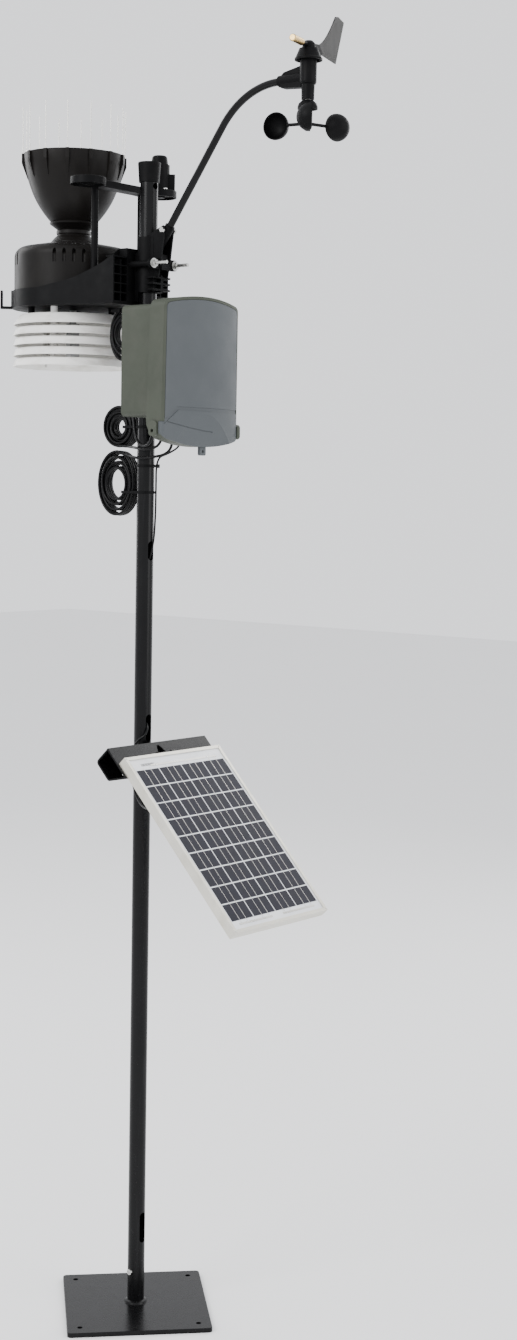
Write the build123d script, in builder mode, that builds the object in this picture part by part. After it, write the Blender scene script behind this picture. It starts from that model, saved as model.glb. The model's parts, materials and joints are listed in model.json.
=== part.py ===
from build123d import *
import os
from math import atan2, cos, degrees, hypot, radians, sin, tan

# Pole-mounted weather station. Millimetres, +Z up, origin at the centre of the base
# plate's underside, on the mast's axis. -Y is the front, where the box, the solar panel
# and the wind sensor are, and +Y is the back, where the rain gauge and its shield hang.

# --- mast and foot ---------------------------------------------------------------
MAST_R = 15.0
MAST_WALL = 2.0
MAST_TOP = 1985.0
PLATE_SIDE = 250.0
PLATE_T = 8.0
PLATE_TURN = 46.5
PLATE_HOLE_SPACING = 205.0
PLATE_HOLE_R = 4.5
SLOT_W = 13.0
MAST_SLOTS = ((119.0, 173.0), (1012.0, 1059.0), (1324.0, 1357.0))
CAP_BOTTOM = 1960.0
CAP_TOP = 1993.0

# --- rain gauge and radiation shield, on an axis behind the mast ------------------
GAUGE_Y = 177.0
RING_R = 106.0
BASE_BOTTOM = 1755.0
BASE_FLOOR = 1758.0
RING_TOP = 1785.0
BASE_WALL = 3.0
WING_FRONT_X = 69.0
WING_FRONT_Y = 16.0
WING_TOP = 1836.0
HOUSING_R = 102.4
HOUSING_WALL = 3.5
HOUSING_TOP = 1869.0
HOUSING_BORE = 24.0
CONE_SEAT = HOUSING_TOP + 0.4
CONE_RIM_Z = 2020.0
CONE_RIM_R = 88.0
CONE_WALL = 2.5
SPIKE_COUNT = 14
SPIKE_TOP = 2099.0
SPIKE_R = 0.9
SPIKE_FIRST_DEG = 217.0
SHIELD_R = 104.5
SHIELD_TOP = 1744.0
SHIELD_RIM_Z = 1726.5
SHIELD_PITCH = 17.9
SHIELD_CHAMBER_R = 42.0
SHIELD_WALL = 2.0
ROD_RADIUS = 80.0
ROD_FIRST_DEG = 201.0

# --- sensor shelf ------------------------------------------------------------------
SHELF_BOTTOM = 1950.0
SHELF_T = 12.0
DISC_X = 88.5
DISC_Y = 57.0
DISC_R = 30.0
POST_X = 57.4
POST_Y = 71.0
POST_R = 6.3

# --- clamp between the gauge, the mast and the wind sensor ---------------------------
CLAMP_BOLT_X = 26.5
CLAMP_Z = 1822.0
CLAMP_BOLT_R = 3.0
CLAMP_FRONT = -36.0
LINK_BACK = -30.0
CLAMP_BOLT_END = -66.0
CLAMP_BOLT_HEAD = 34.0

# --- wind sensor ---------------------------------------------------------------------
ARM_R = 6.0
ARM_BORE = 4.6
ARM_FOOT = (-24.0, 1851.0)
ARM_CORNER = (-203.0, 2094.0)
ARM_BEND_R = 142.0
ARM_END_Y = -298.0
HEAD_Y = -335.0
ARM_Z = ARM_CORNER[1]
HEAD_R = 13.4
HEAD_NECK_R = 10.2
HEAD_TOP = 2128.0
HEAD_STEP = 2083.0
HEAD_BOTTOM = 2060.0
SKIRT_BOTTOM = 2120.0
SKIRT_R = 22.0
VANE_AXIS_Z = 2143.0
VANE_TURN = 12.5
ROTOR_Z = 2023.0
ROTOR_R = 56.0
CUP_R = 21.7
CUP_WALL = 1.5
ROTOR_FIRST_DEG = -137.5

# --- electronics box --------------------------------------------------------------------
BOX_BACK = -22.0
BOX_FRONT = -98.0
BOX_HALF_W = 87.0
BOX_BOTTOM = 1565.0
BOX_TOP = 1748.0
BOX_WALL = 3.0
BOX_CORNER_R = 9.0
LID_BACK = -90.0
LID_EDGE = -122.0
LID_BULGE = 11.0
LID_CORNER_R = 8.0
LID_WALL = 2.6
LID_TOP_HALF_W = 93.5
LID_BOTTOM_HALF_W = 96.0
LID_TOP = 1752.0
LID_ARCH = 11.0
LID_BOTTOM = 1531.0
LID_CHIN = 14.0
HINGE_Y = -92.0
HINGE_Z = 1756.0
GLAND_Y = -62.0
GLAND_XS = (-52.0, -26.0, 0.0, 26.0)
GLAND_R = 6.0
GLAND_FACE = 1553.0
BOX_U_BOLT_ZS = (1610.0, 1700.0)
U_BOLT_X = 17.55
U_BOLT_R = 2.5

# --- solar panel ---------------------------------------------------------------------------
PANEL_W = 243.0
PANEL_L = 356.0
PANEL_T = 17.0
PANEL_TILT = 46.2
PANEL_TOP_Y = -71.0
PANEL_TOP_Z = 1000.8
FRAME_LIP = 6.0
FRAME_WALL = 1.6
CELL_COLS = 4
CELL_ROWS = 9
CELL_FIELD_W = 222.0
CELL_FIELD_TOP = -28.0
CELL_FIELD_L = 306.0
CELL_GAP = 2.4
BRACKET_HALF_W = 124.0
BRACKET_T = 3.0
BRACKET_RISE = 32.0
BRACKET_DEPTH = 34.0
BRACKET_WEB = 40.0

# --- cords -------------------------------------------------------------------------------
LEAD_R = 2.5
MID_R = 2.25
THIN_R = 1.6
COIL_A = (-38.0, 17.0, 1705.0)
COIL_B = (0.0, 56.0, 1552.0)
COIL_C = (0.0, 62.0, 1455.0)

os.makedirs("parts", exist_ok=True)


def keep(builder, label):
    """Labels a finished piece and writes it as its own STEP file."""
    builder.part.label = label
    export_step(builder.part, f"parts/{label}.step")


def upright(y):
    """A plane through (0, y) whose x is the row's X and whose y is the row's Z."""
    return Plane(origin=(0, y, 0), x_dir=(1, 0, 0), z_dir=(0, -1, 0))


def side(x):
    """A plane at x, looking along -X: its x is the row's Y and its y is the row's Z."""
    return Plane(origin=(x, 0, 0), x_dir=(0, 1, 0), z_dir=(1, 0, 0))


GAUGE_PLANE = upright(GAUGE_Y)
GAUGE_AXIS = Axis((0, GAUGE_Y, 0), (0, 0, 1))
HEAD_PLANE = upright(HEAD_Y)
HEAD_AXIS = Axis((0, HEAD_Y, 0), (0, 0, 1))
PANEL_PLANE = Plane(
    origin=(0, PANEL_TOP_Y, PANEL_TOP_Z),
    x_dir=(1, 0, 0),
    z_dir=(0, -sin(radians(PANEL_TILT)), cos(radians(PANEL_TILT))),
)


# ======================= foot and mast ============================================

with BuildPart() as base_plate:
    with BuildSketch(Plane.XY.rotated((0, 0, PLATE_TURN))):
        RectangleRounded(PLATE_SIDE, PLATE_SIDE, 7)
        with GridLocations(PLATE_HOLE_SPACING, PLATE_HOLE_SPACING, 2, 2):
            Circle(PLATE_HOLE_R, mode=Mode.SUBTRACT)
    extrude(amount=PLATE_T)
    top_edges = base_plate.faces().sort_by(Axis.Z)[-1].outer_wire().edges()
    chamfer(top_edges, 0.8)
    # the weld bead round the mast's foot
    with BuildSketch(upright(0)):
        with BuildLine():
            Polyline(
                (MAST_R, PLATE_T),
                (MAST_R + 5, PLATE_T),
                (MAST_R + 3.4, PLATE_T + 3.4),
                (MAST_R, PLATE_T + 5),
                close=True,
            )
        make_face()
    revolve(axis=Axis.Z)
keep(base_plate, "base_plate")

with BuildPart() as mast_tube:
    with BuildSketch(Plane.XY.offset(PLATE_T)):
        Circle(MAST_R)
        Circle(MAST_R - MAST_WALL, mode=Mode.SUBTRACT)
    extrude(amount=MAST_TOP - PLATE_T)
    # cable slots in the front wall, and the cable hole just under the cap
    for low, high in MAST_SLOTS:
        with BuildSketch(upright(0)):
            with Locations((0, (low + high) / 2)):
                SlotOverall(high - low, SLOT_W, rotation=90)
        extrude(amount=MAST_R + 1, mode=Mode.SUBTRACT)
    with BuildSketch(upright(0)):
        with Locations((0, 1953)):
            Circle(5.5)
    extrude(amount=MAST_R + 1, mode=Mode.SUBTRACT)
    # earth-screw hole on the left side near the foot
    with BuildSketch(side(0)):
        with Locations((0, 66)):
            Circle(3.0)
    extrude(amount=-MAST_R - 1, mode=Mode.SUBTRACT)
keep(mast_tube, "mast_tube")

with BuildPart() as mast_cap:
    with BuildSketch(upright(0)):
        with BuildLine():
            Polyline(
                (0, MAST_TOP),
                (MAST_R + 0.05, MAST_TOP),
                (MAST_R + 0.05, CAP_BOTTOM),
                (MAST_R + 2.3, CAP_BOTTOM),
                (MAST_R + 4.3, CAP_TOP - 2),
                (MAST_R + 3.8, CAP_TOP),
                (MAST_R + 1.5, CAP_TOP),
                (MAST_R + 0.5, CAP_TOP - 1.5),
                (0, CAP_TOP - 1.5),
                close=True,
            )
        make_face()
    revolve(axis=Axis.Z)
keep(mast_cap, "mast_cap")


# ======================= gauge base ===============================================

def tangent_point(x_front, y_front, radius):
    """Where the line from (x_front, y_front) touches the ring, on the -X side."""
    dx = x_front
    dy = y_front - GAUGE_Y
    away = hypot(dx, dy)
    turn = degrees(atan2(dy, dx)) - degrees(atan2((away**2 - radius**2) ** 0.5, radius))
    return (radius * cos(radians(turn)), GAUGE_Y + radius * sin(radians(turn)))


def base_outline(inset):
    """The base's plan: the ring with two straight wings running in towards the mast."""
    radius = RING_R - inset
    front_x = WING_FRONT_X - inset
    touch_x, touch_y = tangent_point(-front_x, WING_FRONT_Y, radius)
    with BuildSketch() as outline:
        with Locations((0, GAUGE_Y)):
            Circle(radius)
        with BuildLine():
            Polyline(
                (touch_x, touch_y),
                (-front_x, WING_FRONT_Y),
                (front_x, WING_FRONT_Y),
                (-touch_x, touch_y),
                close=True,
            )
        make_face()
    return outline.sketch


RIB_ZS = (1758.0, 1773.0, 1788.0, 1803.0, 1818.0, 1832.0)
BACK_WALL_Y = 34.0
FLANGE_HALF_W = 34.0

with BuildPart() as gauge_base:
    with BuildSketch(Plane.XY.offset(BASE_BOTTOM)):
        add(base_outline(0))
    extrude(amount=WING_TOP - BASE_BOTTOM)
    with BuildSketch(Plane.XY.offset(BASE_FLOOR)):
        add(base_outline(BASE_WALL))
    extrude(amount=WING_TOP - BASE_FLOOR, mode=Mode.SUBTRACT)
    # the wings' top edge sweeps up in a curve from the ring to the front
    with BuildSketch(side(0)):
        with BuildLine():
            ramp = Spline(
                (GAUGE_Y - 10, RING_TOP),
                (134, 1790.3),
                (94, 1799),
                (60, 1812),
                (35, 1824),
                (WING_FRONT_Y - 1, WING_TOP),
                tangents=((-1, 0.03), (-1, 0.5)),
            )
            Polyline(
                ramp @ 1,
                (WING_FRONT_Y - 1, WING_TOP + 5),
                (GAUGE_Y + RING_R + 5, WING_TOP + 5),
                (GAUGE_Y + RING_R + 5, RING_TOP),
                ramp @ 0,
            )
        make_face()
    extrude(amount=RING_R + 5, both=True, mode=Mode.SUBTRACT)
    # front wall with its egg-crate of ribs
    with BuildSketch(upright(BACK_WALL_Y)):
        with BuildLine():
            Polyline(
                (-68, BASE_BOTTOM),
                (68, BASE_BOTTOM),
                (68, WING_TOP - 9),
                (FLANGE_HALF_W, 1849),
                (-FLANGE_HALF_W, 1849),
                (-68, WING_TOP - 9),
                close=True,
            )
        make_face()
    extrude(amount=-3)
    with BuildSketch(upright(WING_FRONT_Y)):
        for z in RIB_ZS:
            with Locations((0, z + 1)):
                Rectangle(2 * WING_FRONT_X - 2, 2.2)
        with Locations((-50, 1792), (50, 1792)):
            Rectangle(2.2, 74)
        with Locations((-FLANGE_HALF_W, 1802), (FLANGE_HALF_W, 1802)):
            Rectangle(3, 94)
    extrude(amount=WING_FRONT_Y - BACK_WALL_Y)
    # flat clamp flange with two ribs that bear on the mast
    with BuildSketch(upright(WING_FRONT_Y)):
        with Locations((0, 1802)):
            RectangleRounded(2 * FLANGE_HALF_W, 94, 4)
    extrude(amount=-3.5)
    with BuildSketch(upright(8)):
        with Locations((-14, 1802), (14, 1802)):
            Rectangle(3, 80)
    extrude(amount=8 - WING_FRONT_Y - 1)
    # room for the mast, bolt holes, drains, lead holes and the shield's bosses
    with BuildSketch(Plane.XY.offset(BASE_BOTTOM - 1)):
        Circle(MAST_R + 0.05)
    extrude(amount=100, mode=Mode.SUBTRACT)
    with BuildSketch(upright(-5)):
        with Locations((-CLAMP_BOLT_X, CLAMP_Z), (CLAMP_BOLT_X, CLAMP_Z)):
            Circle(CLAMP_BOLT_R + 0.3)
    extrude(amount=-50, mode=Mode.SUBTRACT)
    with BuildSketch(Plane.XY.offset(BASE_BOTTOM - 1)):
        with Locations((-38, GAUGE_Y), (38, GAUGE_Y)):
            Circle(6)
        with Locations((-22, 46), (22, 46)):
            Circle(LEAD_R + 1)
    extrude(amount=5, mode=Mode.SUBTRACT)
    with BuildSketch(Plane.XY.offset(SHIELD_TOP)):
        with Locations((0, GAUGE_Y)):
            with PolarLocations(ROD_RADIUS, 3, start_angle=ROD_FIRST_DEG - 40):
                Circle(6)
    extrude(amount=BASE_BOTTOM - SHIELD_TOP + 1)
    # open cable clip standing off the ring at the back left
    clip_plane = Plane.XY.offset(BASE_BOTTOM).move(Location((0, GAUGE_Y, 0)))
    with BuildSketch(clip_plane.rotated((0, 0, 132.5))):
        with Locations((RING_R + 9, 0)):
            Rectangle(22, 16)
            Rectangle(15, 30, mode=Mode.SUBTRACT)
    extrude(amount=31)
    with BuildSketch(clip_plane.rotated((0, 0, 132.5))):
        with Locations((RING_R + 9, 0)):
            Rectangle(22, 16)
    extrude(amount=4)
keep(gauge_base, "gauge_base")


# ======================= rain gauge ===============================================

with BuildPart() as rain_housing:
    with BuildSketch(GAUGE_PLANE):
        with BuildLine():
            wall = Line((HOUSING_R, BASE_FLOOR + 0.2), (HOUSING_R, 1843))
            shoulder = TangentArc(wall @ 1, (90, 1860), tangent=wall % 1)
            dome = Line(shoulder @ 1, (44, HOUSING_TOP))
            Polyline(
                dome @ 1,
                (HOUSING_BORE, HOUSING_TOP),
                (HOUSING_BORE, HOUSING_TOP - HOUSING_WALL),
                (44, HOUSING_TOP - HOUSING_WALL),
                (88, 1856.5),
                (HOUSING_R - HOUSING_WALL, 1842),
                (HOUSING_R - HOUSING_WALL, BASE_FLOOR + 0.2),
                wall @ 0,
            )
        make_face()
    revolve(axis=GAUGE_AXIS)
    # four groups of thumb flutes over the shoulder
    for group in (45, 135, 225, 315):
        for step in range(-2, 3):
            turn = group + step * 9.5
            centre = Plane(
                origin=(0, GAUGE_Y, 1852),
                x_dir=(cos(radians(turn)), sin(radians(turn)), 0),
                z_dir=(0, 0, 1),
            )
            with BuildSketch(centre.offset(-24)):
                with Locations((HOUSING_R + 1.2, 0)):
                    Circle(3.4)
            extrude(amount=40, mode=Mode.SUBTRACT)
            # the same thumb flute carried over the rounded shoulder
            out = Vector(cos(radians(turn)), sin(radians(turn)), 0)
            start = Vector(0, GAUGE_Y, 1842) + out * (HOUSING_R + 1.2)
            end = Vector(0, GAUGE_Y, 1865) + out * 85
            with BuildSketch(Plane(origin=start, z_dir=end - start)):
                Circle(3.2)
            extrude(amount=(end - start).length, mode=Mode.SUBTRACT)
keep(rain_housing, "rain_housing")

CONE_PROFILE = (
    (91.0, 2003.0),
    (87.0, 1976.0),
    (74.0, 1946.0),
    (57.0, 1922.0),
    (41.0, 1905.0),
)

with BuildPart() as rain_cone:
    with BuildSketch(GAUGE_PLANE):
        with BuildLine():
            bowl = Spline(
                (CONE_RIM_R, CONE_RIM_Z),
                (86.0, 2000.0),
                (79.5, 1976.0),
                (68.0, 1946.0),
                (54.0, 1923.0),
                (40.0, 1906.0),
            )
            Polyline(
                bowl @ 1,
                (42.0, 1904.5),
                (41.0, 1902.0),
                (30.0, 1894.0),
                (28.0, 1892.0),
                (30.0, 1891.0),
                (30.0, 1885.5),
                (28.5, 1884.0),
            )
            flare = Spline((28.5, 1884.0), (33.0, 1879.0), (39.5, 1871.5), tangents=((0.3, -1), (1, -0.9)))
            Polyline(
                flare @ 1,
                (39.5, CONE_SEAT),
                (HOUSING_BORE - 1.0, CONE_SEAT),
                (HOUSING_BORE - 1.0, 1858.0),
                (6.0, 1848.0),
                (6.0, 1842.0),
                (4.0, 1842.0),
                (4.0, 1852.0),
                (24.0, 1884.0),
                (24.0, 1894.0),
                (36.0, 1905.0),
            )
            inside = Spline(
                (36.0, 1905.0),
                (51.0, 1924.0),
                (65.0, 1947.0),
                (76.5, 1977.0),
                (83.2, 2001.0),
                (CONE_RIM_R - CONE_WALL, CONE_RIM_Z),
            )
            Line(inside @ 1, bowl @ 0)
        make_face()
    revolve(axis=GAUGE_AXIS)
    # pointed ribs that hold the bird spikes, outside the wall
    for k in range(SPIKE_COUNT):
        turn = SPIKE_FIRST_DEG + k * 360 / SPIKE_COUNT
        out = Plane(
            origin=(0, GAUGE_Y, 0),
            x_dir=(-sin(radians(turn)), cos(radians(turn)), 0),
            z_dir=(cos(radians(turn)), sin(radians(turn)), 0),
        )
        with BuildSketch(out.offset(CONE_RIM_R - 2)):
            with BuildLine():
                Polyline(
                    (-3.2, CONE_RIM_Z),
                    (-3.2, CONE_RIM_Z - 14),
                    (-0.6, CONE_RIM_Z - 43),
                    (0.6, CONE_RIM_Z - 43),
                    (3.2, CONE_RIM_Z - 14),
                    (3.2, CONE_RIM_Z),
                    close=True,
                )
            make_face()
        extrude(amount=5)
        with BuildSketch(out.offset(CONE_RIM_R - 11)):
            with BuildLine():
                Polyline(
                    (-2.2, CONE_RIM_Z - 14),
                    (-0.6, CONE_RIM_Z - 43),
                    (0.6, CONE_RIM_Z - 43),
                    (2.2, CONE_RIM_Z - 14),
                    close=True,
                )
            make_face()
        extrude(amount=10)
    # trim the ribs' lower ends to a cone and clear the bowl
    with BuildSketch(GAUGE_PLANE):
        with BuildLine():
            Polyline(
                (CONE_RIM_R + 3, CONE_RIM_Z + 1),
                (CONE_RIM_R + 3, CONE_RIM_Z - 16),
                (80.0, CONE_RIM_Z - 45),
                (110.0, CONE_RIM_Z - 45),
                (110.0, CONE_RIM_Z + 1),
                close=True,
            )
        make_face()
        with BuildLine():
            bore = Spline(
                (65.0, 1947.0),
                (76.5, 1977.0),
                (83.2, 2001.0),
                (CONE_RIM_R - CONE_WALL, CONE_RIM_Z),
            )
            Polyline(bore @ 1, (20.0, CONE_RIM_Z), (20.0, 1947.0), bore @ 0)
        make_face()
    revolve(axis=GAUGE_AXIS, mode=Mode.SUBTRACT)
    with BuildSketch(Plane.XY.offset(CONE_RIM_Z - 18)):
        with Locations((0, GAUGE_Y)):
            with PolarLocations(CONE_RIM_R + 0.8, SPIKE_COUNT, start_angle=SPIKE_FIRST_DEG):
                Circle(SPIKE_R + 0.02)
    extrude(amount=20, mode=Mode.SUBTRACT)
keep(rain_cone, "rain_cone")

with BuildPart() as bird_spikes:
    with BuildSketch(Plane.XY.offset(CONE_RIM_Z - 18)):
        with Locations((0, GAUGE_Y)):
            with PolarLocations(CONE_RIM_R + 0.8, SPIKE_COUNT, start_angle=SPIKE_FIRST_DEG):
                Circle(SPIKE_R)
    extrude(amount=SPIKE_TOP - CONE_RIM_Z + 18)
keep(bird_spikes, "bird_spikes")

with BuildPart() as debris_screen:
    with BuildSketch(Plane.XY.offset(1894.2)):
        with Locations((0, GAUGE_Y)):
            Circle(23.5)
            with PolarLocations(8, 6):
                Circle(2.6, mode=Mode.SUBTRACT)
            with PolarLocations(16.5, 12):
                Circle(2.6, mode=Mode.SUBTRACT)
    extrude(amount=2)
    with BuildSketch(Plane.XY.offset(1896.2)):
        with Locations((0, GAUGE_Y)):
            Circle(3)
    extrude(amount=14)
keep(debris_screen, "debris_screen")

PIVOT_Z = 1786.0
BUCKET_TILT = 18.0
BUCKET_HALF = 36.0

with BuildPart() as bucket_cradle:
    with BuildSketch(Plane.XY.offset(BASE_FLOOR)):
        with Locations((0, GAUGE_Y)):
            Rectangle(30, 66)
    extrude(amount=3)
    with BuildSketch(Plane.XY.offset(BASE_FLOOR + 3)):
        with Locations((0, GAUGE_Y - 29), (0, GAUGE_Y + 29)):
            Rectangle(16, 4)
    extrude(amount=PIVOT_Z + 6 - BASE_FLOOR - 3)
    with BuildSketch(upright(GAUGE_Y + 35)):
        with Locations((0, PIVOT_Z)):
            Circle(2.05)
    extrude(amount=70, mode=Mode.SUBTRACT)
keep(bucket_cradle, "bucket_cradle")

bucket_plane = upright(GAUGE_Y + 20)
tilted = Plane(
    origin=(0, GAUGE_Y + 20, PIVOT_Z),
    x_dir=(cos(radians(BUCKET_TILT)), 0, -sin(radians(BUCKET_TILT))),
    z_dir=(0, -1, 0),
)

with BuildPart() as tipping_bucket:
    with BuildSketch(tilted):
        with BuildLine():
            Polyline(
                (-BUCKET_HALF, 4),
                (0, 1.0),
                (BUCKET_HALF, 4),
                (BUCKET_HALF, 6),
                (3, 5),
                (1.2, 30),
                (-1.2, 30),
                (-3, 5),
                (-BUCKET_HALF, 6),
                close=True,
            )
        make_face()
    extrude(amount=40)
    for y in (0, 38.4):
        with BuildSketch(tilted.offset(y)):
            with BuildLine():
                Polyline(
                    (-BUCKET_HALF, 4),
                    (0, 1.0),
                    (BUCKET_HALF, 4),
                    (24, 16),
                    (0, 30),
                    (-24, 16),
                    close=True,
                )
            make_face()
        extrude(amount=1.6)
    with BuildSketch(upright(GAUGE_Y + 31.5)):
        with Locations((0, PIVOT_Z)):
            Circle(2.0)
    extrude(amount=63)
    with BuildSketch(upright(GAUGE_Y + 20)):
        with Locations((0, PIVOT_Z)):
            Circle(4.5)
    extrude(amount=40)
keep(tipping_bucket, "tipping_bucket")


# ======================= radiation shield =========================================

def louvre(top_z, rim_z, top_r, hole_r):
    """One dished plate: a flat ring with a skirt that flares out to the rim."""
    with BuildPart() as plate:
        with BuildSketch(GAUGE_PLANE):
            with BuildLine():
                Polyline(
                    (hole_r, top_z),
                    (top_r, top_z),
                    (top_r + 2.0, top_z - 2.2),
                    (SHIELD_R - 1.4, rim_z + 1.6),
                    (SHIELD_R, rim_z + 1.0),
                    (SHIELD_R, rim_z),
                    (SHIELD_R - 3.0, rim_z),
                    (top_r - 0.8, top_z - SHIELD_WALL),
                    (hole_r, top_z - SHIELD_WALL),
                    close=True,
                )
            make_face()
        revolve(axis=GAUGE_AXIS)
        with BuildSketch(Plane.XY.offset(rim_z)):
            with Locations((0, GAUGE_Y)):
                with PolarLocations(ROD_RADIUS, 3, start_angle=ROD_FIRST_DEG):
                    Circle(2.1)
        extrude(amount=top_z - rim_z + 1, mode=Mode.SUBTRACT)
    return plate.part


with BuildPart() as shield_cap:
    add(louvre(SHIELD_TOP, SHIELD_RIM_Z, 92.0, 10.0))
keep(shield_cap, "shield_cap")

with BuildPart() as shield_plates:
    for k in range(1, 5):
        rim = SHIELD_RIM_Z - k * SHIELD_PITCH
        add(louvre(rim + 13.0, rim, 98.0, SHIELD_CHAMBER_R))
keep(shield_plates, "shield_plates")

with BuildPart() as shield_rods:
    with BuildSketch(Plane.XY.offset(SHIELD_RIM_Z - 4 * SHIELD_PITCH + 4)):
        with Locations((0, GAUGE_Y)):
            with PolarLocations(ROD_RADIUS, 3, start_angle=ROD_FIRST_DEG):
                Circle(2.0)
    extrude(amount=BASE_BOTTOM - SHIELD_RIM_Z + 4 * SHIELD_PITCH - 4)
keep(shield_rods, "shield_rods")

with BuildPart() as shield_spacers:
    levels = [(SHIELD_TOP, BASE_BOTTOM)]
    for k in range(1, 5):
        above = SHIELD_RIM_Z - (k - 1) * SHIELD_PITCH + 13.0 - SHIELD_WALL
        if k == 1:
            above = SHIELD_TOP - SHIELD_WALL
        levels.append((SHIELD_RIM_Z - k * SHIELD_PITCH + 13.0, above))
    for low, high in levels:
        with BuildSketch(Plane.XY.offset(low)):
            with Locations((0, GAUGE_Y)):
                with PolarLocations(ROD_RADIUS, 3, start_angle=ROD_FIRST_DEG):
                    Circle(6)
                    Circle(2.05, mode=Mode.SUBTRACT)
        extrude(amount=high - low)
keep(shield_spacers, "shield_spacers")

with BuildPart() as climate_probe:
    with BuildSketch(Plane.XY.offset(1672)):
        with Locations((0, GAUGE_Y)):
            RectangleRounded(22, 14, 3)
    extrude(amount=60)
    with BuildSketch(Plane.XY.offset(1732)):
        with Locations((0, GAUGE_Y)):
            Circle(6)
    extrude(amount=BASE_BOTTOM - 1732)
keep(climate_probe, "climate_probe")


# ======================= sensor shelf =============================================

with BuildPart() as sensor_shelf:
    with BuildSketch(Plane.XY.offset(SHELF_BOTTOM)):
        with Locations((-DISC_X, DISC_Y), (DISC_X, DISC_Y)):
            Circle(DISC_R)
        with Locations((0, 66)):
            Rectangle(2 * DISC_X, 20)
        with BuildLine():
            Polyline((-DISC_X + 20, 80), (-30, 75), (30, 75), (DISC_X - 20, 80), (60, 50), (-60, 50), close=True)
        make_face()
    extrude(amount=SHELF_T)
    fillet(sensor_shelf.faces().sort_by(Axis.Z)[-1].outer_wire().edges(), 1.5)
    # the discs and the bar are hollow underneath
    with BuildSketch(Plane.XY.offset(SHELF_BOTTOM)):
        with Locations((-DISC_X, DISC_Y), (DISC_X, DISC_Y)):
            Circle(DISC_R - 3)
            Circle(10, mode=Mode.SUBTRACT)
    extrude(amount=4, mode=Mode.SUBTRACT)
    with BuildSketch(Plane.XY.offset(SHELF_BOTTOM)):
        with Locations((-DISC_X, DISC_Y), (DISC_X, DISC_Y)):
            Circle(2.2)
    extrude(amount=SHELF_T, mode=Mode.SUBTRACT)
keep(sensor_shelf, "sensor_shelf")

with BuildPart() as shelf_posts:
    with BuildSketch(Plane.XY.offset(BASE_FLOOR)):
        with Locations((-POST_X, POST_Y), (POST_X, POST_Y)):
            Circle(POST_R)
    extrude(amount=SHELF_BOTTOM - BASE_FLOOR)
keep(shelf_posts, "shelf_posts")

with BuildPart() as solar_sensor:
    with BuildSketch(Plane.XY.offset(SHELF_BOTTOM + SHELF_T)):
        with Locations((DISC_X, DISC_Y)):
            Circle(18)
    extrude(amount=44, taper=0.5)
    with BuildSketch(Plane.XY.offset(SHELF_BOTTOM + SHELF_T + 44)):
        with Locations((DISC_X, DISC_Y)):
            Circle(15)
    extrude(amount=16, taper=8)
    fillet(solar_sensor.faces().sort_by(Axis.Z)[-1].edges(), 5)
    with BuildSketch(Plane.XY.offset(SHELF_BOTTOM + SHELF_T)):
        with Locations((DISC_X + 12.8, DISC_Y - 14)):
            RectangleRounded(16, 14, 2, rotation=-47.5)
    extrude(amount=28)
keep(solar_sensor, "solar_sensor")


# ======================= clamp ====================================================

with BuildPart() as clamp_bolts:
    with BuildSketch(upright(CLAMP_BOLT_HEAD + 3)):
        with Locations((-CLAMP_BOLT_X, CLAMP_Z), (CLAMP_BOLT_X, CLAMP_Z)):
            Circle(CLAMP_BOLT_R)
    extrude(amount=CLAMP_BOLT_HEAD + 3 - CLAMP_BOLT_END)
    with BuildSketch(upright(CLAMP_BOLT_HEAD + 7)):
        with Locations((-CLAMP_BOLT_X, CLAMP_Z), (CLAMP_BOLT_X, CLAMP_Z)):
            RegularPolygon(5.8, 6)
    extrude(amount=4)
keep(clamp_bolts, "clamp_bolts")

with BuildPart() as spacer_tubes:
    with BuildSketch(upright(WING_FRONT_Y)):
        with Locations((-CLAMP_BOLT_X, CLAMP_Z), (CLAMP_BOLT_X, CLAMP_Z)):
            Circle(5.3)
            Circle(CLAMP_BOLT_R + 0.1, mode=Mode.SUBTRACT)
    extrude(amount=WING_FRONT_Y - LINK_BACK)
keep(spacer_tubes, "spacer_tubes")

with BuildPart() as clamp_nuts:
    with BuildSketch(upright(CLAMP_FRONT)):
        with Locations((-CLAMP_BOLT_X, CLAMP_Z), (CLAMP_BOLT_X, CLAMP_Z)):
            Circle(8)
            Circle(CLAMP_BOLT_R, mode=Mode.SUBTRACT)
    extrude(amount=1.6)
    with BuildSketch(upright(CLAMP_FRONT - 1.6)):
        with Locations((-CLAMP_BOLT_X, CLAMP_Z), (CLAMP_BOLT_X, CLAMP_Z)):
            RegularPolygon(5.8, 6)
            Circle(CLAMP_BOLT_R, mode=Mode.SUBTRACT)
    extrude(amount=5)
keep(clamp_nuts, "clamp_nuts")


# ======================= wind sensor ==============================================

arm_foot = Vector(0, *ARM_FOOT)
arm_corner = Vector(0, *ARM_CORNER)
arm_slope = (arm_corner - arm_foot).normalized()
arm_plane = Plane(origin=arm_foot, x_dir=(1, 0, 0), z_dir=arm_slope)
arm_bolt_at = arm_foot + arm_slope * 33
SOCKET_LENGTH = 46.0
CHEEK_X = 9.6
CHEEK_T = 3.0

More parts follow.
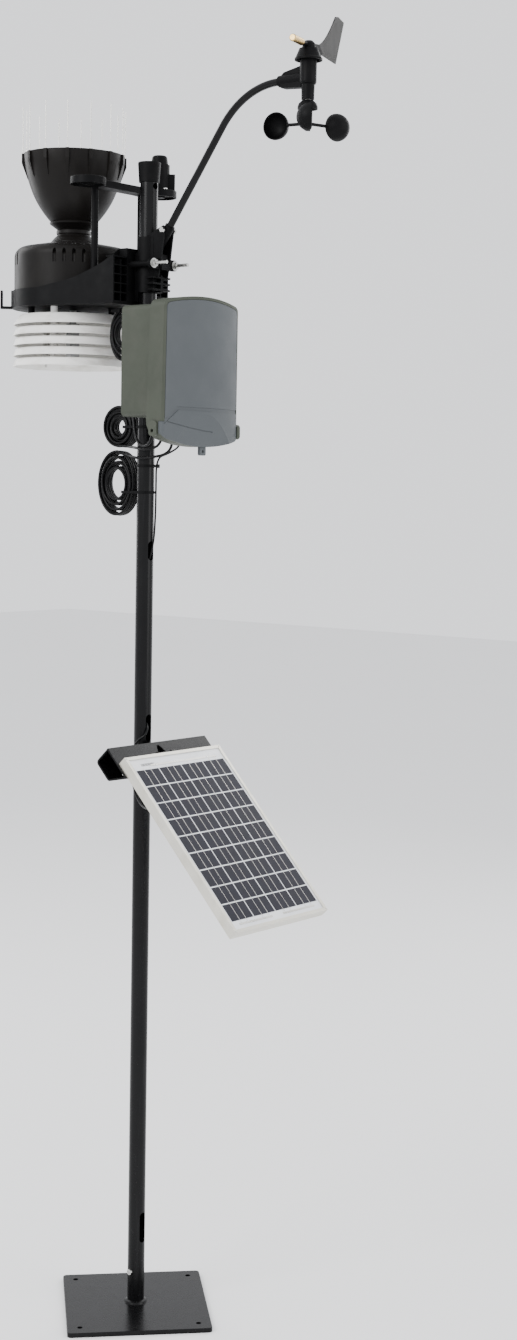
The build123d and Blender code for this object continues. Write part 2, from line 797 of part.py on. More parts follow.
with BuildPart() as anemometer_base:
    # half collar round the front of the mast
    with BuildSketch(Plane.XY.offset(1776)):
        Circle(MAST_R + 6)
        with Locations((0, -10)):
            Rectangle(26, 26)
        with Locations((0, 18)):
            Rectangle(60, 24, mode=Mode.SUBTRACT)
    extrude(amount=92)
    # link plate that the bolts pass through
    with BuildSketch(upright(LINK_BACK)):
        with Locations((0, CLAMP_Z)):
            Rectangle(2 * CLAMP_BOLT_X, 18)
        with Locations((-CLAMP_BOLT_X, CLAMP_Z), (CLAMP_BOLT_X, CLAMP_Z)):
            Circle(9)
    extrude(amount=LINK_BACK - CLAMP_FRONT)
    # lower ribs
    with BuildSketch(upright(-14)):
        for z in (1780, 1790, 1800):
            with Locations((0, z)):
                Rectangle(44, 3)
        with Locations((0, 1790)):
            Rectangle(4, 28)
    extrude(amount=17)
    # cheeks either side of the socket
    for x in (-CHEEK_X - CHEEK_T, CHEEK_X):
        with BuildSketch(side(x)):
            with BuildLine():
                Polyline(
                    (-2, 1868),
                    (-44, 1885),
                    (-47, 1880),
                    (-40, 1830),
                    (-34, 1800),
                    (-10, 1800),
                    close=True,
                )
            make_face()
        extrude(amount=CHEEK_T)
    with BuildSketch(side(-CHEEK_X)):
        with BuildLine():
            Polyline((-20, 1842), (-36, 1838), (-40, 1812), (-20, 1812), close=True)
        make_face()
    extrude(amount=2 * CHEEK_X)
    # slanted socket for the arm
    with BuildSketch(arm_plane.offset(-4)):
        Circle(8.4)
    extrude(amount=SOCKET_LENGTH)
    with BuildSketch(arm_plane):
        Circle(ARM_R + 0.02)
    extrude(amount=SOCKET_LENGTH, mode=Mode.SUBTRACT)
    with BuildSketch(arm_plane.offset(-6)):
        Circle(ARM_BORE)
    extrude(amount=8, mode=Mode.SUBTRACT)
    with BuildSketch(Plane.XY.offset(1770)):
        Circle(MAST_R + 0.05)
    extrude(amount=110, mode=Mode.SUBTRACT)
    with BuildSketch(upright(-10)):
        with Locations((-CLAMP_BOLT_X, CLAMP_Z), (CLAMP_BOLT_X, CLAMP_Z)):
            Circle(CLAMP_BOLT_R + 0.3)
    extrude(amount=40, mode=Mode.SUBTRACT)
    with BuildSketch(side(-20)):
        with Locations((arm_bolt_at.Y, arm_bolt_at.Z)):
            Circle(2.1)
    extrude(amount=40, mode=Mode.SUBTRACT)
keep(anemometer_base, "anemometer_base")

with BuildPart() as arm_bolt:
    with BuildSketch(side(-17)):
        with Locations((arm_bolt_at.Y, arm_bolt_at.Z)):
            RegularPolygon(4.6, 6)
    extrude(amount=4)
    with BuildSketch(side(-13)):
        with Locations((arm_bolt_at.Y, arm_bolt_at.Z)):
            Circle(2.0)
    extrude(amount=30)
    with BuildSketch(side(13)):
        with Locations((arm_bolt_at.Y, arm_bolt_at.Z)):
            RegularPolygon(4.6, 6)
    extrude(amount=3.6)
keep(arm_bolt, "arm_bolt")

with BuildPart() as arm_tube:
    with BuildLine() as arm_line:
        FilletPolyline(arm_foot, arm_corner, (0, ARM_END_Y, ARM_Z), radius=ARM_BEND_R)
    with BuildSketch(arm_plane):
        Circle(ARM_R)
        Circle(ARM_BORE, mode=Mode.SUBTRACT)
    sweep(path=arm_line.line)
    with BuildSketch(side(-20)):
        with Locations((arm_bolt_at.Y, arm_bolt_at.Z)):
            Circle(2.1)
    extrude(amount=40, mode=Mode.SUBTRACT)
keep(arm_tube, "arm_tube")

with BuildPart() as head_body:
    with BuildSketch(HEAD_PLANE):
        with BuildLine():
            Polyline(
                (5, HEAD_TOP),
                (HEAD_R - 2, HEAD_TOP),
                (HEAD_R, HEAD_TOP - 2),
                (HEAD_R, HEAD_STEP + 4),
                (HEAD_R - 1, HEAD_STEP + 1),
                (HEAD_NECK_R + 0.4, HEAD_STEP),
                (HEAD_NECK_R, HEAD_BOTTOM),
                (5, HEAD_BOTTOM),
                close=True,
            )
        make_face()
    revolve(axis=HEAD_AXIS)
    # socket that takes the arm's end, with a web above and a cable box below
    with BuildSketch(upright(ARM_END_Y + 20)):
        with Locations((0, ARM_Z)):
            Circle(9)
    extrude(amount=ARM_END_Y + 20 - HEAD_Y - 6)
    with BuildSketch(side(-3)):
        with BuildLine():
            Polyline(
                (ARM_END_Y + 19, ARM_Z + 6),
                (ARM_END_Y + 10, ARM_Z + 13),
                (HEAD_Y + 10, ARM_Z + 20),
                (HEAD_Y + 10, ARM_Z),
                (ARM_END_Y + 19, ARM_Z),
                close=True,
            )
        make_face()
    extrude(amount=6)
    with BuildSketch(side(-7)):
        with BuildLine():
            Polyline(
                (ARM_END_Y + 16, ARM_Z),
                (ARM_END_Y + 12, ARM_Z - 12),
                (HEAD_Y + 9, ARM_Z - 15),
                (HEAD_Y + 9, ARM_Z),
                close=True,
            )
        make_face()
    extrude(amount=14)
    with BuildSketch(upright(ARM_END_Y + 22)):
        with Locations((0, ARM_Z)):
            Circle(ARM_R + 0.02)
    extrude(amount=22, mode=Mode.SUBTRACT)
    with BuildSketch(Plane.XY.offset(HEAD_BOTTOM - 1)):
        with Locations((0, HEAD_Y)):
            Circle(5)
    extrude(amount=HEAD_TOP - HEAD_BOTTOM + 2, mode=Mode.SUBTRACT)
keep(head_body, "head_body")

with BuildPart() as head_bearings:
    for z in (HEAD_TOP - 5, HEAD_STEP + 10, HEAD_STEP - 8, HEAD_BOTTOM):
        with BuildSketch(Plane.XY.offset(z)):
            with Locations((0, HEAD_Y)):
                Circle(5)
                Circle(1.55, mode=Mode.SUBTRACT)
        extrude(amount=4)
keep(head_bearings, "head_bearings")

with BuildPart() as vane_shaft:
    with BuildSketch(Plane.XY.offset(HEAD_STEP + 8)):
        with Locations((0, HEAD_Y)):
            Circle(1.5)
    extrude(amount=2138 - HEAD_STEP - 8)
keep(vane_shaft, "vane_shaft")

vane_out = (cos(radians(VANE_TURN)), sin(radians(VANE_TURN)), 0)
vane_plane = Plane(
    origin=(0, HEAD_Y, VANE_AXIS_Z),
    x_dir=vane_out,
    z_dir=(vane_out[1], -vane_out[0], 0),
)

with BuildPart() as vane_hub:
    with BuildSketch(HEAD_PLANE):
        with BuildLine():
            Polyline(
                (0, 2151),
                (6, 2150),
                (10, 2146),
                (10.5, 2139.5),
                (15, 2138),
                (SKIRT_R - 1.5, SKIRT_BOTTOM + 4.5),
                (SKIRT_R, SKIRT_BOTTOM + 3),
                (SKIRT_R, SKIRT_BOTTOM),
                (SKIRT_R - 2, SKIRT_BOTTOM),
                (SKIRT_R - 3.5, SKIRT_BOTTOM + 4),
                (14, 2135),
                (5, 2136),
                (5, 2130),
                (0, 2130),
                close=True,
            )
        make_face()
    revolve(axis=HEAD_AXIS)
    # horizontal boom, from the nose weight's spigot to the fin's root
    boom = Plane(origin=(0, HEAD_Y, VANE_AXIS_Z), x_dir=(0, 0, 1), z_dir=vane_out)
    with BuildSketch(boom.offset(-34)):
        Circle(4)
    extrude(amount=34)
    with BuildSketch(vane_plane.offset(-2.6)):
        with BuildLine():
            Polyline((0, -6), (34, -9), (48, -4), (34, 8), (6, 5), (0, 5), close=True)
        make_face()
    extrude(amount=5.2)
    with BuildSketch(vane_plane.offset(-0.8)):
        with BuildLine():
            Polyline((28, 12), (28, -12), (60, -12), (60, 12), close=True)
        make_face()
    extrude(amount=1.6, mode=Mode.SUBTRACT)
    with BuildSketch(Plane.XY.offset(2129)):
        with Locations((0, HEAD_Y)):
            Circle(1.5)
    extrude(amount=9, mode=Mode.SUBTRACT)
keep(vane_hub, "vane_hub")

with BuildPart() as vane_fin:
    with BuildSketch(vane_plane.offset(-0.8)):
        with BuildLine():
            lead_edge = Spline((28.2, 6), (52, 17), (75, 38), (97, 65), tangents=((1, 0.25), (0.75, 1)))
            Polyline(
                lead_edge @ 1,
                (108, 67),
                (130, 62.5),
                (101, -8.5),
                (51, -5.5),
                (28.2, -7),
                lead_edge @ 0,
            )
        make_face()
    extrude(amount=1.6)
keep(vane_fin, "vane_fin")

with BuildPart() as nose_weight:
    with BuildSketch(boom.offset(-60)):
        Circle(5.6)
    extrude(amount=34)
    fillet(nose_weight.edges().filter_by(GeomType.CIRCLE), 1.5)
    with BuildSketch(boom.offset(-34)):
        Circle(4)
    extrude(amount=10, mode=Mode.SUBTRACT)
keep(nose_weight, "nose_weight")

with BuildPart() as rotor_shaft:
    with BuildSketch(Plane.XY.offset(2036)):
        with Locations((0, HEAD_Y)):
            Circle(1.5)
    extrude(amount=HEAD_STEP - 2 - 2036)
keep(rotor_shaft, "rotor_shaft")

with BuildPart() as cup_rotor:
    with BuildSketch(HEAD_PLANE):
        with BuildLine():
            Polyline(
                (0, 2058.5),
                (9, 2058.5),
                (14, 2054),
                (16, 2049),
                (16, 2045),
                (14.6, 2045),
                (8, 2051),
                (7.6, 2019),
            )
            CenterArc((0, 2019), 7.6, 0, -90)
            Line((0, 2011.4), (0, 2058.5))
        make_face()
    revolve(axis=HEAD_AXIS)
    for k in range(3):
        turn = radians(ROTOR_FIRST_DEG + 120 * k)
        reach = Vector(cos(turn), sin(turn), 0)
        mouth = Vector(-sin(turn), cos(turn), 0)
        centre = Vector(0, HEAD_Y, ROTOR_Z) + reach * ROTOR_R
        with BuildSketch(Plane(origin=(0, HEAD_Y, ROTOR_Z), x_dir=(0, 0, 1), z_dir=reach)):
            Circle(2.6)
        extrude(amount=ROTOR_R - CUP_R + 1.2)
        # a hollow half ball whose mouth faces round the circle
        inner = CUP_R - CUP_WALL
        with BuildSketch(Plane(origin=centre, x_dir=(0, 0, 1), z_dir=reach)):
            with BuildLine():
                CenterArc((0, 0), CUP_R, 0, 90)
                Line((CUP_R, 0), (inner, 0))
                CenterArc((0, 0), inner, 0, 90)
                Line((0, inner), (0, CUP_R))
            make_face()
        revolve(axis=Axis(centre, mouth))
    with BuildSketch(Plane.XY.offset(2036)):
        with Locations((0, HEAD_Y)):
            Circle(1.5)
    extrude(amount=30, mode=Mode.SUBTRACT)
keep(cup_rotor, "cup_rotor")


# ======================= electronics box ==========================================

with BuildPart() as box_body:
    box_mid_z = (BOX_BOTTOM + BOX_TOP) / 2
    box_tall = BOX_TOP - BOX_BOTTOM
    with BuildSketch(upright(BOX_BACK)):
        with Locations((0, box_mid_z)):
            RectangleRounded(2 * BOX_HALF_W, box_tall, BOX_CORNER_R)
    extrude(amount=BOX_BACK - BOX_FRONT)
    with BuildSketch(upright(BOX_BACK - BOX_WALL)):
        with Locations((0, box_mid_z)):
            RectangleRounded(2 * BOX_HALF_W - 2 * BOX_WALL, box_tall - 2 * BOX_WALL, BOX_CORNER_R - BOX_WALL)
    extrude(amount=BOX_BACK - BOX_FRONT, mode=Mode.SUBTRACT)
    # hinge lugs on the top edge
    for x in (-50.0, 40.0):
        with BuildSketch(side(x)):
            with Locations((HINGE_Y, HINGE_Z)):
                Circle(4)
            with Locations((HINGE_Y, (HINGE_Z + BOX_TOP - 1) / 2)):
                Rectangle(6, HINGE_Z - BOX_TOP + 1)
        extrude(amount=10)
    # shelf under the battery
    with BuildSketch(upright(BOX_BACK - BOX_WALL)):
        with Locations((0, 1581)):
            Rectangle(136, 2)
    extrude(amount=50)
    with BuildSketch(side(-51)):
        with Locations((HINGE_Y, HINGE_Z)):
            Circle(1.5)
    extrude(amount=102, mode=Mode.SUBTRACT)
    with BuildSketch(Plane.XY.offset(BOX_BOTTOM - 1)):
        with Locations([(x, GLAND_Y) for x in GLAND_XS]):
            Circle(GLAND_R)
    extrude(amount=BOX_WALL + 2, mode=Mode.SUBTRACT)
    with BuildSketch(upright(BOX_BACK + 1)):
        for z in BOX_U_BOLT_ZS:
            with Locations((-U_BOLT_X, z), (U_BOLT_X, z)):
                Circle(U_BOLT_R + 0.3)
    extrude(amount=BOX_WALL + 2, mode=Mode.SUBTRACT)
keep(box_body, "box_body")

with BuildPart() as box_bracket:
    with BuildSketch(upright(BOX_BACK + 3)):
        with Locations((0, 1655)):
            RectangleRounded(86, 168, 5)
    extrude(amount=3)
    with BuildSketch(upright(-8)):
        for z in BOX_U_BOLT_ZS:
            with Locations((0, z)):
                Rectangle(27, 26)
    extrude(amount=-8 - BOX_BACK - 3)
    with BuildSketch(Plane.XY.offset(1560)):
        Circle(MAST_R + 0.05)
    extrude(amount=190, mode=Mode.SUBTRACT)
    with BuildSketch(upright(BOX_BACK + 5)):
        for z in BOX_U_BOLT_ZS:
            with Locations((-U_BOLT_X, z), (U_BOLT_X, z)):
                Circle(U_BOLT_R + 0.3)
    extrude(amount=6, mode=Mode.SUBTRACT)
keep(box_bracket, "box_bracket")


def u_bolt(z, leg_end, nut_at):
    """A bent rod round the back of the mast, with a nut on each leg."""
    with BuildPart() as bent:
        with BuildLine() as centre:
            left = Line((-U_BOLT_X, leg_end, z), (-U_BOLT_X, 0, z))
            turn = ThreePointArc(left @ 1, (0, U_BOLT_X, z), (U_BOLT_X, 0, z))
            Line(turn @ 1, (U_BOLT_X, leg_end, z))
        with BuildSketch(Plane(origin=(-U_BOLT_X, leg_end, z), x_dir=(1, 0, 0), z_dir=(0, 1, 0))):
            Circle(U_BOLT_R)
        sweep(path=centre.line)
        with BuildSketch(upright(nut_at)):
            with Locations((-U_BOLT_X, z), (U_BOLT_X, z)):
                RegularPolygon(4.6, 6)
        extrude(amount=4)
    return bent.part


with BuildPart() as box_u_bolts:
    for z in BOX_U_BOLT_ZS:
        add(u_bolt(z, BOX_BACK - BOX_WALL - 7, BOX_BACK - BOX_WALL))
keep(box_u_bolts, "box_u_bolts")


def lid_outline(inset):
    """The lid seen from the front: arched top and bottom, wider at the bottom."""
    with BuildSketch() as outline:
        with BuildLine():
            Polyline((-LID_BOTTOM_HALF_W, LID_BOTTOM), (-LID_TOP_HALF_W, LID_TOP))
            ThreePointArc((-LID_TOP_HALF_W, LID_TOP), (0, LID_TOP + LID_ARCH), (LID_TOP_HALF_W, LID_TOP))
            Polyline((LID_TOP_HALF_W, LID_TOP), (LID_BOTTOM_HALF_W, LID_BOTTOM))
            ThreePointArc(
                (LID_BOTTOM_HALF_W, LID_BOTTOM),
                (0, LID_BOTTOM - LID_CHIN),
                (-LID_BOTTOM_HALF_W, LID_BOTTOM),
            )
        make_face()
        fillet(outline.vertices(), 14)
        if inset > 0:
            offset(amount=-inset, mode=Mode.REPLACE)
    return outline.sketch_local


def lid_block(edge_inset, front_inset):
    """A solid of the lid's shape, drawn in from its edges and from its curved front."""
    with BuildPart() as block:
        with BuildSketch(upright(LID_BACK + 6)):
            add(lid_outline(edge_inset))
        extrude(amount=60)
        half_w = LID_BOTTOM_HALF_W + 0.3 - front_inset
        with BuildSketch(Plane.XY.offset(LID_BOTTOM - 40)) as plan:
            with BuildLine():
                front = ThreePointArc(
                    (-half_w, LID_EDGE + front_inset),
                    (0, LID_EDGE - LID_BULGE + front_inset),
                    (half_w, LID_EDGE + front_inset),
                )
                Polyline(front @ 1, (half_w, -60), (-half_w, -60), front @ 0)
            make_face()
            fillet(plan.vertices().sort_by(Axis.Y)[:2], LID_CORNER_R - front_inset)
        extrude(amount=300, mode=Mode.INTERSECT)
        # the chin leans back below a crease
        with BuildSketch(side(-110)):
            with BuildLine():
                Polyline(
                    (-134 + front_inset, 1579),
                    (-125.5 + front_inset, 1510),
                    (-125.5 + front_inset, 1480),
                    (-160, 1480),
                    (-160, 1579),
                    close=True,
                )
            make_face()
        extrude(amount=220, mode=Mode.SUBTRACT)
    return block.part


FACE_T = 1.6
FACE_INSET = 5.5
FACE_FLARE_Z = 1556.0
FACE_WRAP_Y = -114.0
FACE_GAP = 0.8
CREASE_T = 1.0


def face_layer(gap, thick):
    """The lid's front skin: inset at the sides and top, full width along the chin."""
    with BuildPart() as layer:
        add(lid_block(0, 0))
        add(lid_block(0, thick), mode=Mode.SUBTRACT)
        with BuildSketch(upright(LID_BACK + 20)):
            add(lid_outline(FACE_INSET - gap))
            with Locations((0, (1480 + FACE_FLARE_Z + gap) / 2)):
                Rectangle(220, FACE_FLARE_Z + gap - 1480)
        extrude(amount=80, mode=Mode.INTERSECT)
        with BuildSketch(upright(FACE_WRAP_Y + gap)):
            with Locations((0, 1640)):
                Rectangle(240, 320)
        extrude(amount=60, mode=Mode.INTERSECT)
    return layer.part


with BuildPart() as lid_frame:
    add(lid_block(0, 0))
    add(lid_block(LID_WALL, LID_WALL), mode=Mode.SUBTRACT)
    # rear edge of the skirt, slanting, with a cut-off lower corner
    with BuildSketch(side(-110)):
        with BuildLine():
            Polyline(
                (-92.5, 1780),
                (-86.6, 1560),
                (-87.7, 1550),
                (-98, 1531),
                (-98, 1490),
                (-60, 1490),
                (-60, 1780),
                close=True,
            )
        make_face()
    extrude(amount=220, mode=Mode.SUBTRACT)
    # lock-screw ears low on both sides
    for x, y in ((-99.5, -104), (93.0, -116)):
        with BuildSketch(side(x)):
            with Locations((y, 1545)):
                RectangleRounded(17, 25, 6)
        extrude(amount=7.5)
        with BuildSketch(side(x - 5)):
            with Locations((y + 1, 1541)):
                Circle(3)
        extrude(amount=20, mode=Mode.SUBTRACT)
    # knuckles, and notches that let the body's lugs through
    for x in (-50.6, 39.4):
        with BuildSketch(side(x)):
            with Locations((HINGE_Y - 1, HINGE_Z)):
                Rectangle(13, 24)
        extrude(amount=11.2, mode=Mode.SUBTRACT)
    for x in (-39.0, 29.0):
        with BuildSketch(side(x)):
            with Locations((HINGE_Y, HINGE_Z)):
                Circle(4)
            with Locations((HINGE_Y - 3, HINGE_Z + 1.5)):
                Rectangle(6, 5)
        extrude(amount=10)
    with BuildSketch(side(-52)):
        with Locations((HINGE_Y, HINGE_Z)):
            Circle(1.55)
    extrude(amount=104, mode=Mode.SUBTRACT)
    # recess for the face
    add(face_layer(FACE_GAP, FACE_T), mode=Mode.SUBTRACT)
keep(lid_frame, "lid_frame")

with BuildPart() as crease:
    # grooves across the chin: a broad one along the bend and a thin curved one below it
    add(lid_block(0, 0))
    add(lid_block(0, CREASE_T), mode=Mode.SUBTRACT)
    with BuildSketch(upright(FACE_WRAP_Y)):
        with BuildLine():
            Polyline(
                (-92, 1551.5),
                (-63, 1575.5),
                (92, 1575.5),
                (92, 1581.5),
                (-65, 1581.5),
                (-92, 1559.5),
                close=True,
            )
        make_face()
        with BuildLine():
            low = Spline((-92, 1556.5), (-39, 1547), (22, 1541.5))
            high = Spline((22, 1543.1), (-39, 1548.8), (-92, 1558.5))
            Line(low @ 1, high @ 0)
            Line(high @ 1, low @ 0)
        make_face()
    extrude(amount=60, mode=Mode.INTERSECT)

with BuildPart() as lid_face:
    add(face_layer(0, FACE_T))
    add(crease.part, mode=Mode.SUBTRACT)
keep(lid_face, "lid_face")

with BuildPart() as lid_gasket:
    with BuildSketch(upright(BOX_FRONT)):
        with Locations((0, box_mid_z)):
            RectangleRounded(2 * BOX_HALF_W - 1, box_tall - 1, BOX_CORNER_R - 0.5)
            RectangleRounded(2 * BOX_HALF_W - 5, box_tall - 5, BOX_CORNER_R - 2.5, mode=Mode.SUBTRACT)
    extrude(amount=1.6)
keep(lid_gasket, "lid_gasket")

with BuildPart() as hinge_pins:
    for x in (-51.0, 28.5):
        with BuildSketch(side(x)):
            with Locations((HINGE_Y, HINGE_Z)):
                Circle(1.5)
        extrude(amount=22.5)
keep(hinge_pins, "hinge_pins")

with BuildPart() as lid_latch:
    with BuildSketch(upright(-118)):
        with Locations((6, 1511)):
            RectangleRounded(15, 16, 3)
            with Locations((0, -1)):
                Circle(2.6, mode=Mode.SUBTRACT)
    extrude(amount=5)
keep(lid_latch, "lid_latch")

with BuildPart() as logger_board:
    with BuildSketch(upright(-38)):
        with Locations((0, 1702)):
            Rectangle(150, 74)
    extrude(amount=1.6)
    with BuildSketch(upright(-39.6)):
        with Locations((-30, 1712), (20, 1700)):
            Rectangle(26, 26)
        with Locations((0, 1672)):
            Rectangle(120, 10)
        with Locations((58, 1715)):
            Rectangle(16, 22)
    extrude(amount=6)
    with BuildSketch(upright(BOX_BACK - BOX_WALL)):
        with Locations((0, 1702)):
            with GridLocations(140, 64, 2, 2):
                Circle(3)
    extrude(amount=BOX_BACK - BOX_WALL + 38)
keep(logger_board, "logger_board")

with BuildPart() as battery:
    with BuildSketch(upright(-34)):
        with Locations((0, 1614)):
            RectangleRounded(128, 64, 3)
    extrude(amount=38)
keep(battery, "battery")

with BuildPart() as cable_glands:
    with BuildSketch(Plane.XY.offset(GLAND_FACE)):
        with Locations([(x, GLAND_Y) for x in GLAND_XS]):
            Circle(GLAND_R)
    extrude(amount=1574 - GLAND_FACE)
    with BuildSketch(Plane.XY.offset(BOX_BOTTOM - 5)):
        with Locations([(x, GLAND_Y) for x in GLAND_XS]):
            RegularPolygon(8.2, 6)
    extrude(amount=5)
    with BuildSketch(Plane.XY.offset(BOX_BOTTOM + BOX_WALL)):
        with Locations([(x, GLAND_Y) for x in GLAND_XS]):
            RegularPolygon(8.2, 6)
    extrude(amount=4)
keep(cable_glands, "cable_glands")


# ======================= solar panel ==============================================

PANEL_MID = (0, -PANEL_L / 2)

with BuildPart() as panel_frame:
    with BuildSketch(PANEL_PLANE):
        with Locations(PANEL_MID):
            Rectangle(PANEL_W, PANEL_L)
    extrude(amount=-PANEL_T)
    with BuildSketch(PANEL_PLANE):
        with Locations(PANEL_MID):
            Rectangle(PANEL_W - 2 * FRAME_LIP, PANEL_L - 2 * FRAME_LIP)
    extrude(amount=-PANEL_T, mode=Mode.SUBTRACT)
    with BuildSketch(PANEL_PLANE.offset(-1.6)):
        with Locations(PANEL_MID):
            Rectangle(PANEL_W - 2 * FRAME_WALL, PANEL_L - 2 * FRAME_WALL)
    extrude(amount=-PANEL_T + 3.2, mode=Mode.SUBTRACT)
    with BuildSketch(PANEL_PLANE.offset(-PANEL_T)):
        with Locations(PANEL_MID):
            Rectangle(PANEL_W - 2 * FRAME_WALL, PANEL_L - 2 * FRAME_WALL)
            Rectangle(PANEL_W - 26, PANEL_L - 26, mode=Mode.SUBTRACT)
    extrude(amount=1.6)
keep(panel_frame, "panel_frame")

with BuildPart() as panel_laminate:
    with BuildSketch(PANEL_PLANE.offset(-2.0)):
        with Locations(PANEL_MID):
            Rectangle(PANEL_W - 2 * FRAME_WALL, PANEL_L - 2 * FRAME_WALL)
    extrude(amount=-3.6)
keep(panel_laminate, "panel_laminate")

with BuildPart() as panel_cells:
    pitch_x = (CELL_FIELD_W + CELL_GAP) / CELL_COLS
    pitch_y = (CELL_FIELD_L + CELL_GAP) / CELL_ROWS
    with BuildSketch(PANEL_PLANE.offset(-2.0)):
        with Locations((0, CELL_FIELD_TOP - CELL_FIELD_L / 2)):
            with GridLocations(pitch_x, pitch_y, CELL_COLS, CELL_ROWS):
                Rectangle(pitch_x - CELL_GAP, pitch_y - CELL_GAP)
    extrude(amount=0.4)
keep(panel_cells, "panel_cells")

with BuildPart() as junction_box:
    with BuildSketch(PANEL_PLANE.offset(-5.6)):
        with Locations((0, -88)):
            RectangleRounded(62, 52, 4)
    extrude(amount=-18)
    with BuildSketch(side(-34)):
        with Locations((-119.7, 929.7)):
            Circle(4)
    extrude(amount=8)
keep(junction_box, "junction_box")

BEND_A = (BRACKET_DEPTH, -PANEL_T)
BEND_B = (BRACKET_DEPTH, -PANEL_T - BRACKET_WEB + 3)
BEND_C = (-7.3, -PANEL_T - BRACKET_WEB + 3)
BEND_D = (-30.6, -PANEL_T)
U_BOLT_LEVEL = 996.0

with BuildPart() as panel_bracket:
    # one folded sheet: strip under the panel, riser, back, and a slanting return
    section = Plane(origin=PANEL_PLANE.origin, x_dir=PANEL_PLANE.y_dir, z_dir=(-1, 0, 0))
    with BuildSketch(Plane(origin=PANEL_PLANE.origin, x_dir=PANEL_PLANE.y_dir, z_dir=(1, 0, 0))):
        with BuildLine():
            Polyline(BEND_D, BEND_A, BEND_B, BEND_C, close=True)
        fold = make_face()
        fillet(fold.vertices().sort_by(Axis.Y)[:2], 7)
        offset(amount=-BRACKET_T, kind=Kind.INTERSECTION, mode=Mode.SUBTRACT)
    extrude(amount=BRACKET_HALF_W, both=True)
    # wedge that gives the U-bolt's nuts a square seat
    with BuildSketch(side(-30)):
        with BuildLine():
            Polyline((-36, 982), (-36, 1004), (-23, 1004), (-12, 992), (-12, 982), close=True)
        make_face()
    extrude(amount=60)
    with BuildSketch(PANEL_PLANE.offset(-PANEL_T + 1)):
        with BuildLine():
            Polyline((-15, 12), (5, 12), (-2, 27), (-8, 27), close=True)
        make_face()
    extrude(amount=-BRACKET_T - 2, mode=Mode.SUBTRACT)
    with BuildSketch(Plane.XY.offset(940)):
        Circle(MAST_R + 0.4)
    extrude(amount=90, mode=Mode.SUBTRACT)
    with BuildSketch(upright(0)):
        with Locations((-U_BOLT_X, U_BOLT_LEVEL), (U_BOLT_X, U_BOLT_LEVEL)):
            Circle(U_BOLT_R + 0.3)
    extrude(amount=60, mode=Mode.SUBTRACT)
keep(panel_bracket, "panel_bracket")

with BuildPart() as bracket_u_bolt:
    add(u_bolt(U_BOLT_LEVEL, -44, -36))
keep(bracket_u_bolt, "bracket_u_bolt")

with BuildPart() as panel_screws:
    with BuildSketch(PANEL_PLANE.offset(-PANEL_T + 4)):
        with Locations((-116, -18), (116, -18)):
            Circle(2.5)
    extrude(amount=-PANEL_T + 8)
    with BuildSketch(PANEL_PLANE.offset(-PANEL_T - BRACKET_T)):
        with Locations((-116, -18), (116, -18)):
            RegularPolygon(4.6, 6)
    extrude(amount=-4)
keep(panel_screws, "panel_screws")


# ======================= spare cord, cords and ties ================================

def wound(centre, outer, inner, thick):
    """Outer shape of one bundle of turns, standing in the Y-Z plane."""
    with BuildPart() as bundle:
        with BuildSketch(side(centre[0] - thick / 2)):
            with Locations((centre[1], centre[2])):
                Ellipse(*outer)
                Ellipse(*inner, mode=Mode.SUBTRACT)
        extrude(amount=thick)
        fillet(bundle.edges(), min(outer[0] - inner[0], thick) * 0.36)
    return bundle.part


with BuildPart() as coil_a:
    add(wound(COIL_A, (33, 47), (13, 27), 24))
keep(coil_a, "coil_a")

with BuildPart() as coil_b:
    add(wound(COIL_B, (37, 36.99), (12, 11.99), 24))
keep(coil_b, "coil_b")

with BuildPart() as coil_c:
    add(wound(COIL_C, (43.5, 58), (21.5, 25), 26))
keep(coil_c, "coil_c")


def cord(points, radius):
    """A round cord: straight runs joined by arcs that are as wide as the runs allow."""
    knots = [Vector(*p) for p in points]
    bends = []
    for before, at, after in zip(knots, knots[1:], knots[2:]):
        run = min((at - before).length, (after - at).length)
        turn = (at - before).get_angle(after - at)
        bends.append(round(0.45 * run / tan(radians(turn / 2)), 2))
    with BuildPart() as lead:
        with BuildLine() as route:
            FilletPolyline(*knots, radius=bends)
        with BuildSketch(Plane(origin=knots[0], z_dir=knots[1] - knots[0])):
            Circle(radius)
        sweep(path=route.line)
    run_length = sum(edge.length for edge in route.edges())
    ratio = lead.part.volume / (3.14159 * radius**2 * run_length)
    print("length", round(run_length), "radii", bends, "volume ratio", round(ratio, 4))
    return lead.part


with BuildPart() as iss_lead:
    add(
        cord(
            (
                (-38, -7, 1682),
                (-38, -5, 1620),
                (-38, -6, 1560),
                (-40, -14, 1526),
                (-46, -38, 1515),
                (-52, GLAND_Y, 1526),
                (-52, GLAND_Y, GLAND_FACE),
            ),
            LEAD_R,
        )
    )
keep(iss_lead, "iss_lead")

with BuildPart() as sensor_lead:
    add(
        cord(
            (
                (-9.5, 52, 1519.5),
                (-14, 22, 1517),
                (-27, -2, 1515),
                (-33, -30, 1511),
                (-26, GLAND_Y, 1520),
                (-26, GLAND_Y, GLAND_FACE),
            ),
            MID_R,
        )
    )
keep(sensor_lead, "sensor_lead")

with BuildPart() as wind_lead:
    add(
        cord(
            (
                (-8, 56, 1507),
                (-11, 30, 1503),
                (-21, 5, 1498),
                (-21, -20, 1498),
                (-6, -54, 1504),
                (0, GLAND_Y, 1524),
                (0, GLAND_Y, GLAND_FACE),
            ),
            MID_R,
        )
    )
keep(wind_lead, "wind_lead")

with BuildPart() as charge_lead:
    add(
        cord(
            (
                (0, -9, 1322),
                (2, -18, 1348),
                (8, -16.4, 1395),
                (9, -16.0, 1445),
                (8.5, -16.2, 1499),
                (15, -38, 1506),
                (25, GLAND_Y + 1, 1522),
                (26, GLAND_Y, GLAND_FACE),
            ),
            THIN_R,
        )
    )
keep(charge_lead, "charge_lead")

